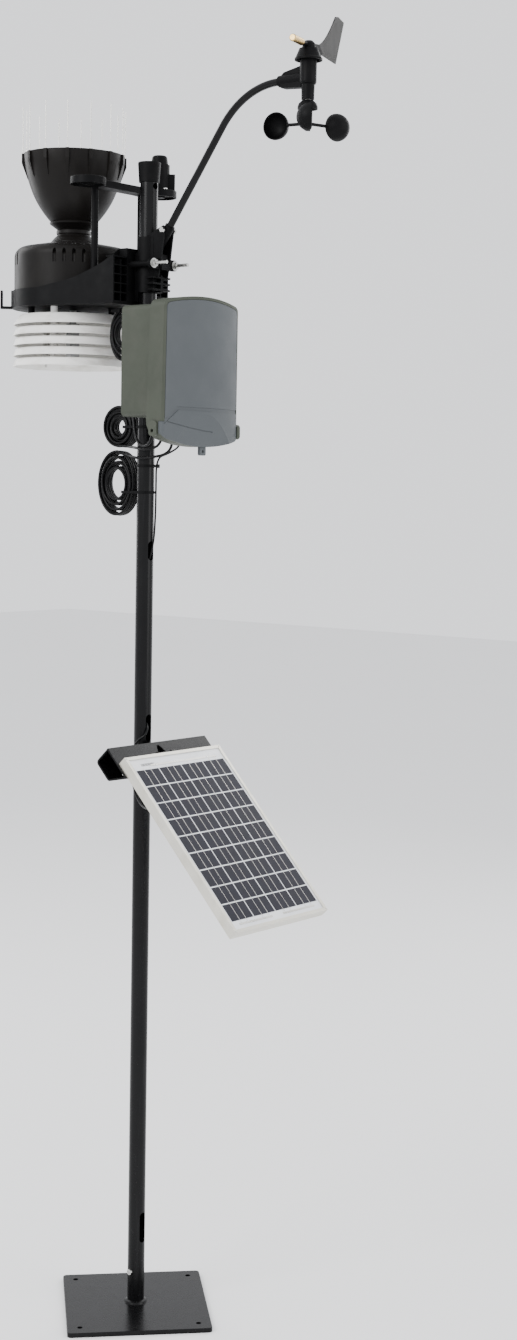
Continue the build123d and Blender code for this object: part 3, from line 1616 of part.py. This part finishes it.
with BuildPart() as panel_lead:
    add(
        cord(
            (
                (-34, -119.7, 929.7),
                (-62, -119.7, 929.7),
                (-66, -84, 908),
                (-48, -44, 906),
                (-30, -8, 930),
                (-25, 5, 972),
                (-26, -4, 1012),
                (-12, -27, 1028),
                (0, -9, 1044),
            ),
            THIN_R,
        )
    )
keep(panel_lead, "panel_lead")


def strap(limb, grow):
    """Plan of a tie drawn tight round the mast and one more round or oblong thing."""
    with BuildSketch() as outline:
        Circle(MAST_R + 0.05 + grow)
        width, deep, corner, x, y = limb
        with Locations((x, y)):
            RectangleRounded(width + 2 * grow, deep + 2 * grow, corner + grow)
        make_hull()
    return outline.sketch_local


TIES = (
    (1485.0, (4.4, 4.4, 2.0, 8.5, -16.2)),
    (1440.0, (26.4, 27.2, 6.0, 0.0, 33.0)),
    (1551.0, (24.4, 25.6, 4.0, 0.0, 31.7)),
    (1744.0, (24.4, 42.0, 5.0, -38.0, 17.0)),
)

with BuildPart() as cable_ties:
    for z, limb in TIES:
        with BuildSketch(Plane.XY.offset(z - 2.2)):
            add(strap(limb, 1.3))
            add(strap(limb, 0), mode=Mode.SUBTRACT)
        extrude(amount=4.4)
keep(cable_ties, "cable_ties")

with BuildPart() as earth_screw:
    with BuildSketch(side(-11)):
        with Locations((0, 66)):
            Circle(2.9)
    extrude(amount=-6)
    with BuildSketch(side(-15.1)):
        with Locations((0, 66)):
            Circle(5)
    extrude(amount=-3.5)
keep(earth_screw, "earth_screw")
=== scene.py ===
import json
import math

import bmesh
import bpy
from mathutils import Matrix, Vector


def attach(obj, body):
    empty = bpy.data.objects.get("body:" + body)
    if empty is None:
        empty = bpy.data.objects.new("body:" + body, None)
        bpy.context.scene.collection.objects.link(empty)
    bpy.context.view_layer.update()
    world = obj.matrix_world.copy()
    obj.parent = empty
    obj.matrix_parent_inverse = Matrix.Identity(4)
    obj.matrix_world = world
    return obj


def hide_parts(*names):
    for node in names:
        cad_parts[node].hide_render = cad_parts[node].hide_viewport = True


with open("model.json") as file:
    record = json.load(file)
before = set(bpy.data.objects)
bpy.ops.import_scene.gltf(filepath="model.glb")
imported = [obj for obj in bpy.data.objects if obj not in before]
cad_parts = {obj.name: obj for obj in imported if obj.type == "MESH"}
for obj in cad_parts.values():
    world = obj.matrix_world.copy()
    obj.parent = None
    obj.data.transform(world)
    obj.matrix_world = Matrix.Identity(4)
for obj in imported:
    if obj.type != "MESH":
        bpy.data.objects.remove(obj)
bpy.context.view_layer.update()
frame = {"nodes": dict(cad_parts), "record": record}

# Everything is in metres in the part's own frame: +Z up, -Y the front.
MM = 0.001

# ---------------------------------------------------------------- camera
CAMERA_DISTANCE = 3.3315
CAMERA_HEIGHT = 1.4477
FOCAL_LENGTH = 52.02
SENSOR_WIDTH = 36
CLIP_END = 60
VIEW_TURN = math.radians(42.45)
YAW = math.radians(3.419)
PITCH = math.radians(5.314)
ROLL = math.radians(1.0175)


def to_row(v):
    """Turns a vector (right, away, up) of the camera's ground frame into the part's frame."""
    s, c = math.sin(VIEW_TURN), math.cos(VIEW_TURN)
    return Vector((v[0] * s + v[1] * c, -v[0] * c + v[1] * s, v[2]))


def make_camera():
    sy, cy = math.sin(YAW), math.cos(YAW)
    sp, cp = math.sin(PITCH), math.cos(PITCH)
    look = Vector((sy * cp, cy * cp, -sp))
    level = Vector((cy, -sy, 0))
    rise = level.cross(look)
    right = math.cos(ROLL) * level + math.sin(ROLL) * rise
    up = -math.sin(ROLL) * level + math.cos(ROLL) * rise
    data = bpy.data.cameras.new("camera")
    data.lens = FOCAL_LENGTH
    data.sensor_width = SENSOR_WIDTH
    data.clip_end = CLIP_END
    camera = bpy.data.objects.new("camera", data)
    bpy.context.scene.collection.objects.link(camera)
    axes = Matrix([to_row(right), to_row(up), -to_row(look)]).transposed()
    place = to_row((0, -CAMERA_DISTANCE, CAMERA_HEIGHT))
    camera.matrix_world = Matrix.Translation(place) @ axes.to_4x4()
    bpy.context.scene.camera = camera


make_camera()


# ---------------------------------------------------------------- materials
class Nodes:
    """A small helper for building one material's node tree."""

    def __init__(self, name):
        self.material = bpy.data.materials.new(name)
        self.material.use_nodes = True
        self.tree = self.material.node_tree
        self.shader = self.tree.nodes["Principled BSDF"]
        self.coords = self.add("ShaderNodeTexCoord")

    def add(self, kind, **values):
        node = self.tree.nodes.new(kind)
        for key, value in values.items():
            if hasattr(node, key):
                setattr(node, key, value)
            else:
                node.inputs[key].default_value = value
        return node

    def link(self, a, b):
        self.tree.links.new(a, b)

    def spread(self, scale):
        """Object coordinates stretched by a scale on each axis."""
        mapping = self.add("ShaderNodeMapping")
        mapping.inputs["Scale"].default_value = scale
        self.link(self.coords.outputs["Object"], mapping.inputs["Vector"])
        return mapping.outputs["Vector"]

    def noise(self, scale, detail=4.0, stretch=(1, 1, 1)):
        node = self.add("ShaderNodeTexNoise")
        node.inputs["Scale"].default_value = scale
        node.inputs["Detail"].default_value = detail
        self.link(self.spread(stretch), node.inputs["Vector"])
        return node.outputs["Fac"]

    def remap(self, value, low, high, out_low, out_high):
        node = self.add("ShaderNodeMapRange")
        limits = {"From Min": low, "From Max": high, "To Min": out_low, "To Max": out_high}
        for key, number in limits.items():
            node.inputs[key].default_value = number
        self.link(value, node.inputs["Value"])
        return node.outputs["Result"]

    def mix(self, factor, a, b):
        """Mixes colour a (socket or RGB) towards colour b by factor."""
        node = self.add("ShaderNodeMix", data_type="RGBA")
        self.link(factor, node.inputs[0])
        for socket, colour in ((node.inputs[6], a), (node.inputs[7], b)):
            if isinstance(colour, (tuple, list)):
                socket.default_value = (*colour, 1)
            else:
                self.link(colour, socket)
        return node.outputs[2]

    def bump(self, height, strength, distance):
        node = self.add("ShaderNodeBump")
        node.inputs["Strength"].default_value = strength
        node.inputs["Distance"].default_value = distance
        self.link(height, node.inputs["Height"])
        if self.shader.inputs["Normal"].is_linked:
            self.link(self.shader.inputs["Normal"].links[0].from_socket, node.inputs["Normal"])
        self.link(node.outputs["Normal"], self.shader.inputs["Normal"])

    def colour(self, socket):
        self.link(socket, self.shader.inputs["Base Color"])

    def rough(self, socket):
        self.link(socket, self.shader.inputs["Roughness"])


def shade(colour, factor):
    return tuple(min(1.0, c * factor) for c in colour)


def surface(
    name,
    colour,
    roughness,
    metallic=0.0,
    blotch=0.18,
    blotch_scale=14.0,
    grain=900.0,
    grain_depth=0.00006,
    grain_strength=0.35,
    dirt=None,
    dirt_amount=0.5,
    streak=(1, 1, 1),
    coat=0.0,
    coat_roughness=0.1,
    scuff=None,
    scuff_amount=0.5,
    scuff_stretch=(1, 1, 0.06),
    specular=0.5,
):
    """A worn, slightly uneven finish: blotchy colour, fine grain, dirt and scuffs."""
    m = Nodes(name)
    base = m.mix(
        m.remap(m.noise(blotch_scale, 5.0, streak), 0.3, 0.7, 0.0, 1.0),
        shade(colour, 1 - blotch),
        shade(colour, 1 + blotch),
    )
    if dirt:
        patches = m.remap(m.noise(blotch_scale * 2.3, 8.0, streak), 0.5, 0.75, 0.0, dirt_amount)
        base = m.mix(patches, base, dirt)
    if scuff:
        lines = m.remap(m.noise(160.0, 9.0, scuff_stretch), 0.6, 0.78, 0.0, scuff_amount)
        base = m.mix(lines, base, scuff)
    m.colour(base)
    wear = m.noise(blotch_scale * 5, 6.0, streak)
    m.rough(m.remap(wear, 0.25, 0.75, roughness * 0.82, roughness * 1.2))
    m.bump(m.noise(grain, 2.0), grain_strength, grain_depth)
    m.shader.inputs["Metallic"].default_value = metallic
    m.shader.inputs["Specular IOR Level"].default_value = specular
    m.shader.inputs["Coat Weight"].default_value = coat
    m.shader.inputs["Coat Roughness"].default_value = coat_roughness
    return m.material


def cell_material():
    """Polycrystalline silicon under glass: dark blue grains of slightly different hue."""
    m = Nodes("cell_blue")
    grains = m.add("ShaderNodeTexVoronoi")
    grains.inputs["Scale"].default_value = 260.0
    m.link(m.spread((1, 1, 1)), grains.inputs["Vector"])
    tone = m.remap(grains.outputs["Color"], 0.0, 1.0, 0.0, 1.0)
    base = m.mix(tone, (0.002, 0.002, 0.008), (0.0045, 0.004, 0.014))
    m.colour(m.mix(m.remap(m.noise(9.0), 0.35, 0.7, 0.0, 0.5), base, (0.005, 0.0045, 0.01)))
    m.rough(m.remap(grains.outputs["Distance"], 0.0, 1.0, 0.34, 0.5))
    m.shader.inputs["Specular IOR Level"].default_value = 0.12
    m.shader.inputs["Coat Weight"].default_value = 0.12
    m.shader.inputs["Coat Roughness"].default_value = 0.09
    return m.material


def backsheet_material():
    m = Nodes("white_backsheet")
    patches = m.remap(m.noise(22.0), 0.35, 0.7, 0.0, 1.0)
    m.colour(m.mix(patches, (0.74, 0.76, 0.79), (0.83, 0.84, 0.86)))
    m.rough(m.remap(m.noise(60.0), 0.3, 0.7, 0.35, 0.5))
    m.bump(m.noise(1500.0), 0.1, 0.00003)
    m.shader.inputs["Coat Weight"].default_value = 1.0
    m.shader.inputs["Coat Roughness"].default_value = 0.08
    return m.material


BLACK_STEEL = (0.003, 0.003, 0.0033)
BLACK_PLASTIC = (0.0025, 0.0025, 0.0028)
BROWN_BLACK = (0.006, 0.0052, 0.0047)

MATERIALS = {
    "black_steel": surface(
        "black_steel", BLACK_STEEL, 0.26, blotch=0.25, grain=1500.0, grain_depth=0.00008,
        scuff=(0.035, 0.035, 0.038), scuff_amount=0.2, specular=0.16,
    ),
    "black_plastic": surface(
        "black_plastic", BLACK_PLASTIC, 0.5, blotch=0.25, grain=2200.0, grain_depth=0.0001,
        dirt=(0.009, 0.009, 0.009), dirt_amount=0.35, specular=0.08,
    ),
    "brown_plastic": surface(
        "brown_plastic", BROWN_BLACK, 0.42, blotch=0.2, blotch_scale=9.0, grain=1600.0,
        dirt=(0.016, 0.0145, 0.013), dirt_amount=0.45, streak=(1, 1, 0.45), specular=0.12,
    ),
    "white_plastic": surface(
        "white_plastic", (0.8, 0.79, 0.76), 0.5, blotch=0.06, grain=1300.0,
        dirt=(0.42, 0.39, 0.33), dirt_amount=0.45, streak=(1, 1, 3),
    ),
    "grey_plastic": surface("grey_plastic", (0.3, 0.3, 0.3), 0.5),
    "olive_plastic": surface(
        "olive_plastic", (0.044, 0.05, 0.038), 0.55, blotch=0.09, grain=1900.0, grain_depth=0.00012,
        dirt=(0.065, 0.065, 0.054), dirt_amount=0.3, specular=0.2,
    ),
    # slate_plastic, the lid's face: part of its cool blue-grey tone is painted reflection of the pale
    # studio. It sits over the plastic's own grey and sets the face apart from the olive frame.
    "slate_plastic": surface(
        "slate_plastic", (0.064, 0.071, 0.076), 0.5, blotch=0.06, blotch_scale=7.0, grain=1700.0,
        grain_depth=0.00016, grain_strength=0.5, dirt=(0.09, 0.098, 0.102), dirt_amount=0.25,
        specular=0.2,
    ),
    "zinc": surface(
        "zinc", (0.55, 0.55, 0.53), 0.3, metallic=1.0, blotch=0.2, grain=700.0,
        dirt=(0.3, 0.29, 0.27), dirt_amount=0.5,
    ),
    "pale_steel": surface(
        "pale_steel", (0.6, 0.59, 0.56), 0.28, metallic=1.0, blotch=0.12, grain=900.0,
        streak=(1, 1, 0.2),
    ),
    "brass": surface(
        "brass", (0.62, 0.43, 0.18), 0.3, metallic=1.0, blotch=0.2, blotch_scale=60.0,
        dirt=(0.3, 0.2, 0.1),
    ),
    "rubber_black": surface("rubber_black", (0.007, 0.007, 0.007), 0.75, specular=0.2),
    "board_green": surface("board_green", (0.02, 0.13, 0.06), 0.35, coat=0.4),
    "anodised": surface(
        "anodised", (0.66, 0.64, 0.57), 0.34, metallic=0.75, blotch=0.07, blotch_scale=20.0,
        grain=1200.0, grain_depth=0.00003, streak=(0.1, 1, 1),
        dirt=(0.5, 0.47, 0.38), dirt_amount=0.5,
    ),
    "cable_black": surface(
        "cable_black", (0.0025, 0.0025, 0.0028), 0.34, blotch=0.25, grain=1600.0, specular=0.14,
    ),
    "white_backsheet": backsheet_material(),
    "cell_blue": cell_material(),
}
SLOTS = {s["node"]: s["material_slot"] for s in frame["record"]["subparts"]}

SMOOTH_ANGLE = math.radians(32)
for node, obj in frame["nodes"].items():
    obj.data.materials.clear()
    obj.data.materials.append(MATERIALS[SLOTS[node]])
    obj.data.shade_smooth()
    obj.data.set_sharp_from_angle(angle=SMOOTH_ANGLE)


# ---------------------------------------------------------------- cords
POINTS_PER_TURN = 14
WOBBLE = 0.35


def loop_turns(centre, half, step, layers, across, pitch, sense, end_deg, tail_x):
    """Control points of a wound oval in the Y-Z plane, layer on layer, back and forth along X.

    half is the inner layer's half width along Y and Z and step is what each further layer adds.
    across turns lie side by side at the given pitch. sense is 1 from +Y towards +Z, or -1.
    The last point is on the outer layer at end_deg and tail_x, so that the tail leaves it
    tangentially.
    """
    per_turn = POINTS_PER_TURN
    count = across * layers * per_turn
    points = []
    for k in range(count + 1):
        layer = min(layers - 1, k // (across * per_turn))
        within = k / (across * per_turn) - layer
        way = within if (layers - 1 - layer) % 2 == 0 else 1 - within
        x = (0.5 - way) * (across - 1) * pitch
        near_tail = max(0.0, 1 - (count - k) / per_turn)
        x += (tail_x - centre[0] - x) * near_tail
        # the last half turn of each layer eases in to the next one
        ease = max(0.0, (within - 1 + 0.5 / across) * 2 * across) if layer < layers - 1 else 0.0
        out = layer + ease
        wobble = WOBBLE * math.sin(2.4 * (k / per_turn))
        angle = math.radians(end_deg) - sense * 2 * math.pi * (count - k) / per_turn
        points.append(
            (
                centre[0] + x,
                centre[1] + (half[0] + out * step[0] + wobble) * math.cos(angle),
                centre[2] + (half[1] + out * step[1] + wobble) * math.sin(angle),
            )
        )
    return points


def spline_length(obj):
    """Length of a curve object's line, measured before it has any thickness."""
    mesh = bpy.data.meshes.new_from_object(obj)
    total = 0.0
    for edge in mesh.edges:
        a, b = (mesh.vertices[i].co for i in edge.vertices)
        total += (a - b).length
    bpy.data.meshes.remove(mesh)
    return total


def cord(name, points, radius, replaced):
    """A free cord along control points in millimetres."""
    curve = bpy.data.curves.new(name, "CURVE")
    curve.dimensions = "3D"
    spline = curve.splines.new("NURBS")
    spline.points.add(len(points) - 1)
    for knot, p in zip(spline.points, points):
        knot.co = (p[0] * MM, p[1] * MM, p[2] * MM, 1)
    spline.order_u = 3
    spline.use_endpoint_u = True
    spline.resolution_u = 6
    curve.resolution_u = 6
    obj = bpy.data.objects.new(name, curve)
    bpy.context.scene.collection.objects.link(obj)
    length = spline_length(obj)
    curve.bevel_depth = radius * MM
    curve.bevel_resolution = 5
    curve.materials.append(MATERIALS["cable_black"])
    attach(obj, "station")
    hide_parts(*replaced)
    print("cord", name, round(length, 3))
    return obj


LEAD_R = 2.5
MID_R = 2.25
THIN_R = 1.6
GLAND_Y = -62.0
GLAND_FACE = 1553.0
COIL_A = (-38.0, 17.0, 1705.0)
COIL_B = (0.0, 56.0, 1552.0)
COIL_C = (0.0, 62.0, 1455.0)

iss_turns = loop_turns(
    COIL_A, (18.0, 21.6), (5.8, 11.0), layers=3, across=3, pitch=6.6, sense=1, end_deg=196, tail_x=-38
)
iss_route = iss_turns + [
    (-38, -7, 1682),
    (-38, -5, 1620),
    (-38, -6, 1560),
    (-40, -14, 1526),
    (-46, -38, 1515),
    (-52, GLAND_Y, 1526),
    (-52, GLAND_Y, GLAND_FACE),
]
cord("iss_cord", iss_route, LEAD_R, ["iss_lead", "coil_a"])

sensor_turns = loop_turns(
    COIL_B, (15.0, 15.0), (4.8, 4.8), layers=5, across=4, pitch=6.2, sense=-1, end_deg=282, tail_x=-9.5
)
sensor_route = sensor_turns + [
    (-9.5, 52, 1519.5),
    (-14, 22, 1517),
    (-27, -2, 1515),
    (-33, -30, 1511),
    (-26, GLAND_Y, 1520),
    (-26, GLAND_Y, GLAND_FACE),
]
cord("sensor_cord", sensor_route, MID_R, ["sensor_lead", "coil_b"])

wind_turns = loop_turns(
    COIL_C, (24.4, 28.0), (5.5, 9.1), layers=4, across=4, pitch=6.8, sense=1, end_deg=96, tail_x=-8
)
wind_route = wind_turns + [
    (-8, 56, 1507),
    (-11, 30, 1503),
    (-21, 5, 1498),
    (-21, -20, 1498),
    (-6, -54, 1504),
    (0, GLAND_Y, 1524),
    (0, GLAND_Y, GLAND_FACE),
]
cord("wind_cord", wind_route, MID_R, ["wind_lead", "coil_c"])

charge_route = [
    (0, -9, 1322),
    (2, -18, 1348),
    (8, -16.4, 1395),
    (9, -16.0, 1445),
    (8.5, -16.2, 1499),
    (15, -38, 1506),
    (25, GLAND_Y + 1, 1522),
    (26, GLAND_Y, GLAND_FACE),
]
cord("charge_cord", charge_route, THIN_R, ["charge_lead"])

panel_route = [
    (-34, -119.7, 929.7),
    (-62, -119.7, 929.7),
    (-66, -84, 908),
    (-48, -44, 906),
    (-30, -8, 930),
    (-25, 5, 972),
    (-26, -4, 1012),
    (-12, -27, 1028),
    (0, -9, 1044),
]
cord("panel_cord", panel_route, THIN_R, ["panel_lead"])


# ---------------------------------------------------------------- pieces
def piece(name, verts, faces, slot, body="station", smooth=None):
    """A mesh piece from vertices in metres."""
    mesh = bpy.data.meshes.new(name)
    mesh.from_pydata([tuple(v) for v in verts], [], faces)
    mesh.validate()
    bm = bmesh.new()
    bm.from_mesh(mesh)
    bmesh.ops.recalc_face_normals(bm, faces=bm.faces)
    bm.to_mesh(mesh)
    bm.free()
    if smooth:
        mesh.shade_smooth()
        mesh.set_sharp_from_angle(angle=smooth)
    obj = bpy.data.objects.new(name, mesh)
    bpy.context.scene.collection.objects.link(obj)
    mesh.materials.append(MATERIALS[slot])
    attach(obj, body)
    return obj


def bevel(obj, width, segments=2):
    mod = obj.modifiers.new("bevel", "BEVEL")
    mod.width = width
    mod.segments = segments
    mod.limit_method = "ANGLE"
    return obj


class Plate:
    """Collects small blocks in one local frame, so that they make one piece."""

    def __init__(self, origin, x_axis, y_axis):
        self.origin = Vector(origin)
        self.x = Vector(x_axis).normalized()
        self.y = Vector(y_axis).normalized()
        self.z = self.x.cross(self.y)
        self.verts = []
        self.faces = []

    def at(self, x, y, z):
        return self.origin + (self.x * x + self.y * y + self.z * z) * MM

    def block(self, x0, x1, y0, y1, z0, z1):
        n = len(self.verts)
        for z in (z0, z1):
            for x, y in ((x0, y0), (x1, y0), (x1, y1), (x0, y1)):
                self.verts.append(self.at(x, y, z))
        self.faces += [
            (n + 3, n + 2, n + 1, n), (n + 4, n + 5, n + 6, n + 7),
            (n, n + 1, n + 5, n + 4), (n + 1, n + 2, n + 6, n + 5),
            (n + 2, n + 3, n + 7, n + 6), (n + 3, n, n + 4, n + 7),
        ]

    def lathe(self, x, y, profile, sides=24):
        """A turned shape about local z through (x, y); profile is (radius, height) pairs."""
        n = len(self.verts)
        rings = len(profile)
        for r, h in profile:
            for k in range(sides):
                a = 2 * math.pi * k / sides
                self.verts.append(self.at(x + r * math.cos(a), y + r * math.sin(a), h))
        for i in range(rings - 1):
            for k in range(sides):
                k2 = (k + 1) % sides
                low = n + i * sides
                high = low + sides
                self.faces.append((low + k, low + k2, high + k2, high + k))
        self.faces.append(tuple(n + k for k in reversed(range(sides))))
        self.faces.append(tuple(n + (rings - 1) * sides + k for k in range(sides)))

    def done(self, name, slot, body="station", smooth=None):
        return piece(name, self.verts, self.faces, slot, body, smooth)


# solar panel: busbars and the ribbons that join them
TILT = math.radians(46.2)
panel_frame = ((0, -0.071, 1.0008), (1, 0, 0), (0, math.cos(TILT), math.sin(TILT)))
CELL_PITCH_X = 56.1
CELL_TOP = -28.0
CELL_BOTTOM = CELL_TOP - 306.0
COLUMNS = 4
BUSBAR_OFFSET = 8.0
BUSBAR_HALF_W = 0.35
RIBBON_W = 3.4
RIBBON_END = 14
CELL_FACE = -1.6

bars = Plate(*panel_frame)
for column in range(COLUMNS):
    middle = (column - 1.5) * CELL_PITCH_X
    for x in (middle - BUSBAR_OFFSET, middle + BUSBAR_OFFSET):
        bars.block(
            x - BUSBAR_HALF_W, x + BUSBAR_HALF_W, CELL_BOTTOM - 6, CELL_TOP + 5, CELL_FACE, CELL_FACE + 0.12
        )
for x0, x1, y in (
    (-CELL_PITCH_X * 2 + RIBBON_END, -RIBBON_END, CELL_BOTTOM - 9),
    (RIBBON_END, CELL_PITCH_X * 2 - RIBBON_END, CELL_BOTTOM - 9),
    (-CELL_PITCH_X - RIBBON_END, CELL_PITCH_X + RIBBON_END, CELL_TOP + 6),
    (CELL_PITCH_X + 18, CELL_PITCH_X * 2 - RIBBON_END, CELL_TOP + 6),
):
    bars.block(x0, x1, y, y + RIBBON_W, CELL_FACE - 0.3, CELL_FACE + 0.15)
bars.done("busbars", "pale_steel")

# plain bars where the rating label is
LABEL_LEFT = -92
BAR_PITCH = 2.3
label = Plate(*panel_frame)
for k in range(14):
    x = LABEL_LEFT + k * BAR_PITCH
    label.block(x, x + (1.5 if k % 3 else 0.9), -20.5, -15.5, -2.0, CELL_FACE)
label.done("rating_marks", "grey_plastic")

# rivets at the panel frame's corners
keys = Plate(*panel_frame)
for sx in (-1, 1):
    for y in (-3.0, -353.0):
        keys.lathe(sx * 118.5, y, ((1.5, 0.0), (1.5, 0.25), (1.0, 0.45)), 12)
keys.done("frame_rivets", "zinc", smooth=SMOOTH_ANGLE)

# screw heads on the shelf discs, and the light sensor's levelling screws
screws = Plate((0, 0, 1.962), (1, 0, 0), (0, 1, 0))
for x, y in ((-88.5, 57), (-57.4, 71), (57.4, 71), (88.5 + 21, 57 + 8), (88.5 - 8, 57 - 21)):
    screws.lathe(x, y, ((4.2, 0), (4.2, 1.6), (3.4, 2.6), (1.6, 2.7), (1.5, 1.6)), 20)
screws.done("shelf_screws", "zinc", smooth=SMOOTH_ANGLE)

# ratchet heads and tails of the cable ties
TIE_HEADS = (
    (1485.0, 13.0, -15.6),
    (1440.0, 15.4, 36.0),
    (1551.0, 14.4, 34.0),
    (1744.0, -52.6, 17.0),
)
heads = Plate((0, 0, 0), (1, 0, 0), (0, 1, 0))
# each row is the tie's height and its head's x and y
for z, x, y in TIE_HEADS:
    heads.block(x - 2.2, x + 2.6, y - 3.0, y + 3.0, z - 3.2, z + 3.2)
    heads.block(x - 0.5, x + 0.7, y + 3.0, y + 9.0, z - 2.0, z + 2.0)
bevel(heads.done("tie_heads", "black_plastic"), 0.0006)

# ---------------------------------------------------------------- stage
def stage_plane(name, size, colour):
    """A level square of plain ground."""
    m = Nodes(name)
    patches = m.remap(m.noise(0.6), 0.3, 0.7, 0.0, 1.0)
    m.colour(m.mix(patches, shade(colour, 0.99), shade(colour, 1.0)))
    m.shader.inputs["Roughness"].default_value = 0.9
    mesh = bpy.data.meshes.new(name)
    corners = [(-size, -size, 0), (size, -size, 0), (size, size, 0), (-size, size, 0)]
    mesh.from_pydata(corners, [], [(0, 1, 2, 3)])
    mesh.materials.append(m.material)
    obj = bpy.data.objects.new(name, mesh)
    bpy.context.scene.collection.objects.link(obj)


stage_plane("floor", 14.0, (0.85, 0.85, 0.85))


def softbox(name, place, target, width, height, power):
    """A rectangular area light at a place in the camera's ground frame, aimed at a target."""
    data = bpy.data.lights.new(name, "AREA")
    data.shape = "RECTANGLE"
    data.size = width
    data.size_y = height
    data.energy = power
    obj = bpy.data.objects.new(name, data)
    bpy.context.scene.collection.objects.link(obj)
    place = to_row(place)
    obj.location = place
    aim = Vector(target) - place
    obj.rotation_euler = aim.to_track_quat("-Z", "Y").to_euler()


AIM = (0, 0, 1.3)
softbox("key", (-3.0, -2.6, 3.6), AIM, 2.2, 2.6, 150)
softbox("fill", (3.4, -2.0, 2.2), AIM, 2.0, 3.0, 60)
softbox("rim_left", (-2.6, 2.4, 2.6), AIM, 1.2, 3.0, 60)
softbox("rim_right", (2.6, 2.6, 2.6), AIM, 1.2, 3.0, 60)

WORLD_COLOUR = (0.96, 0.97, 1.0, 1)
WORLD_STRENGTH = 1.5
world = bpy.data.worlds.new("studio")
bpy.context.scene.world = world
world.use_nodes = True
world.node_tree.nodes["Background"].inputs["Color"].default_value = WORLD_COLOUR
world.node_tree.nodes["Background"].inputs["Strength"].default_value = WORLD_STRENGTH
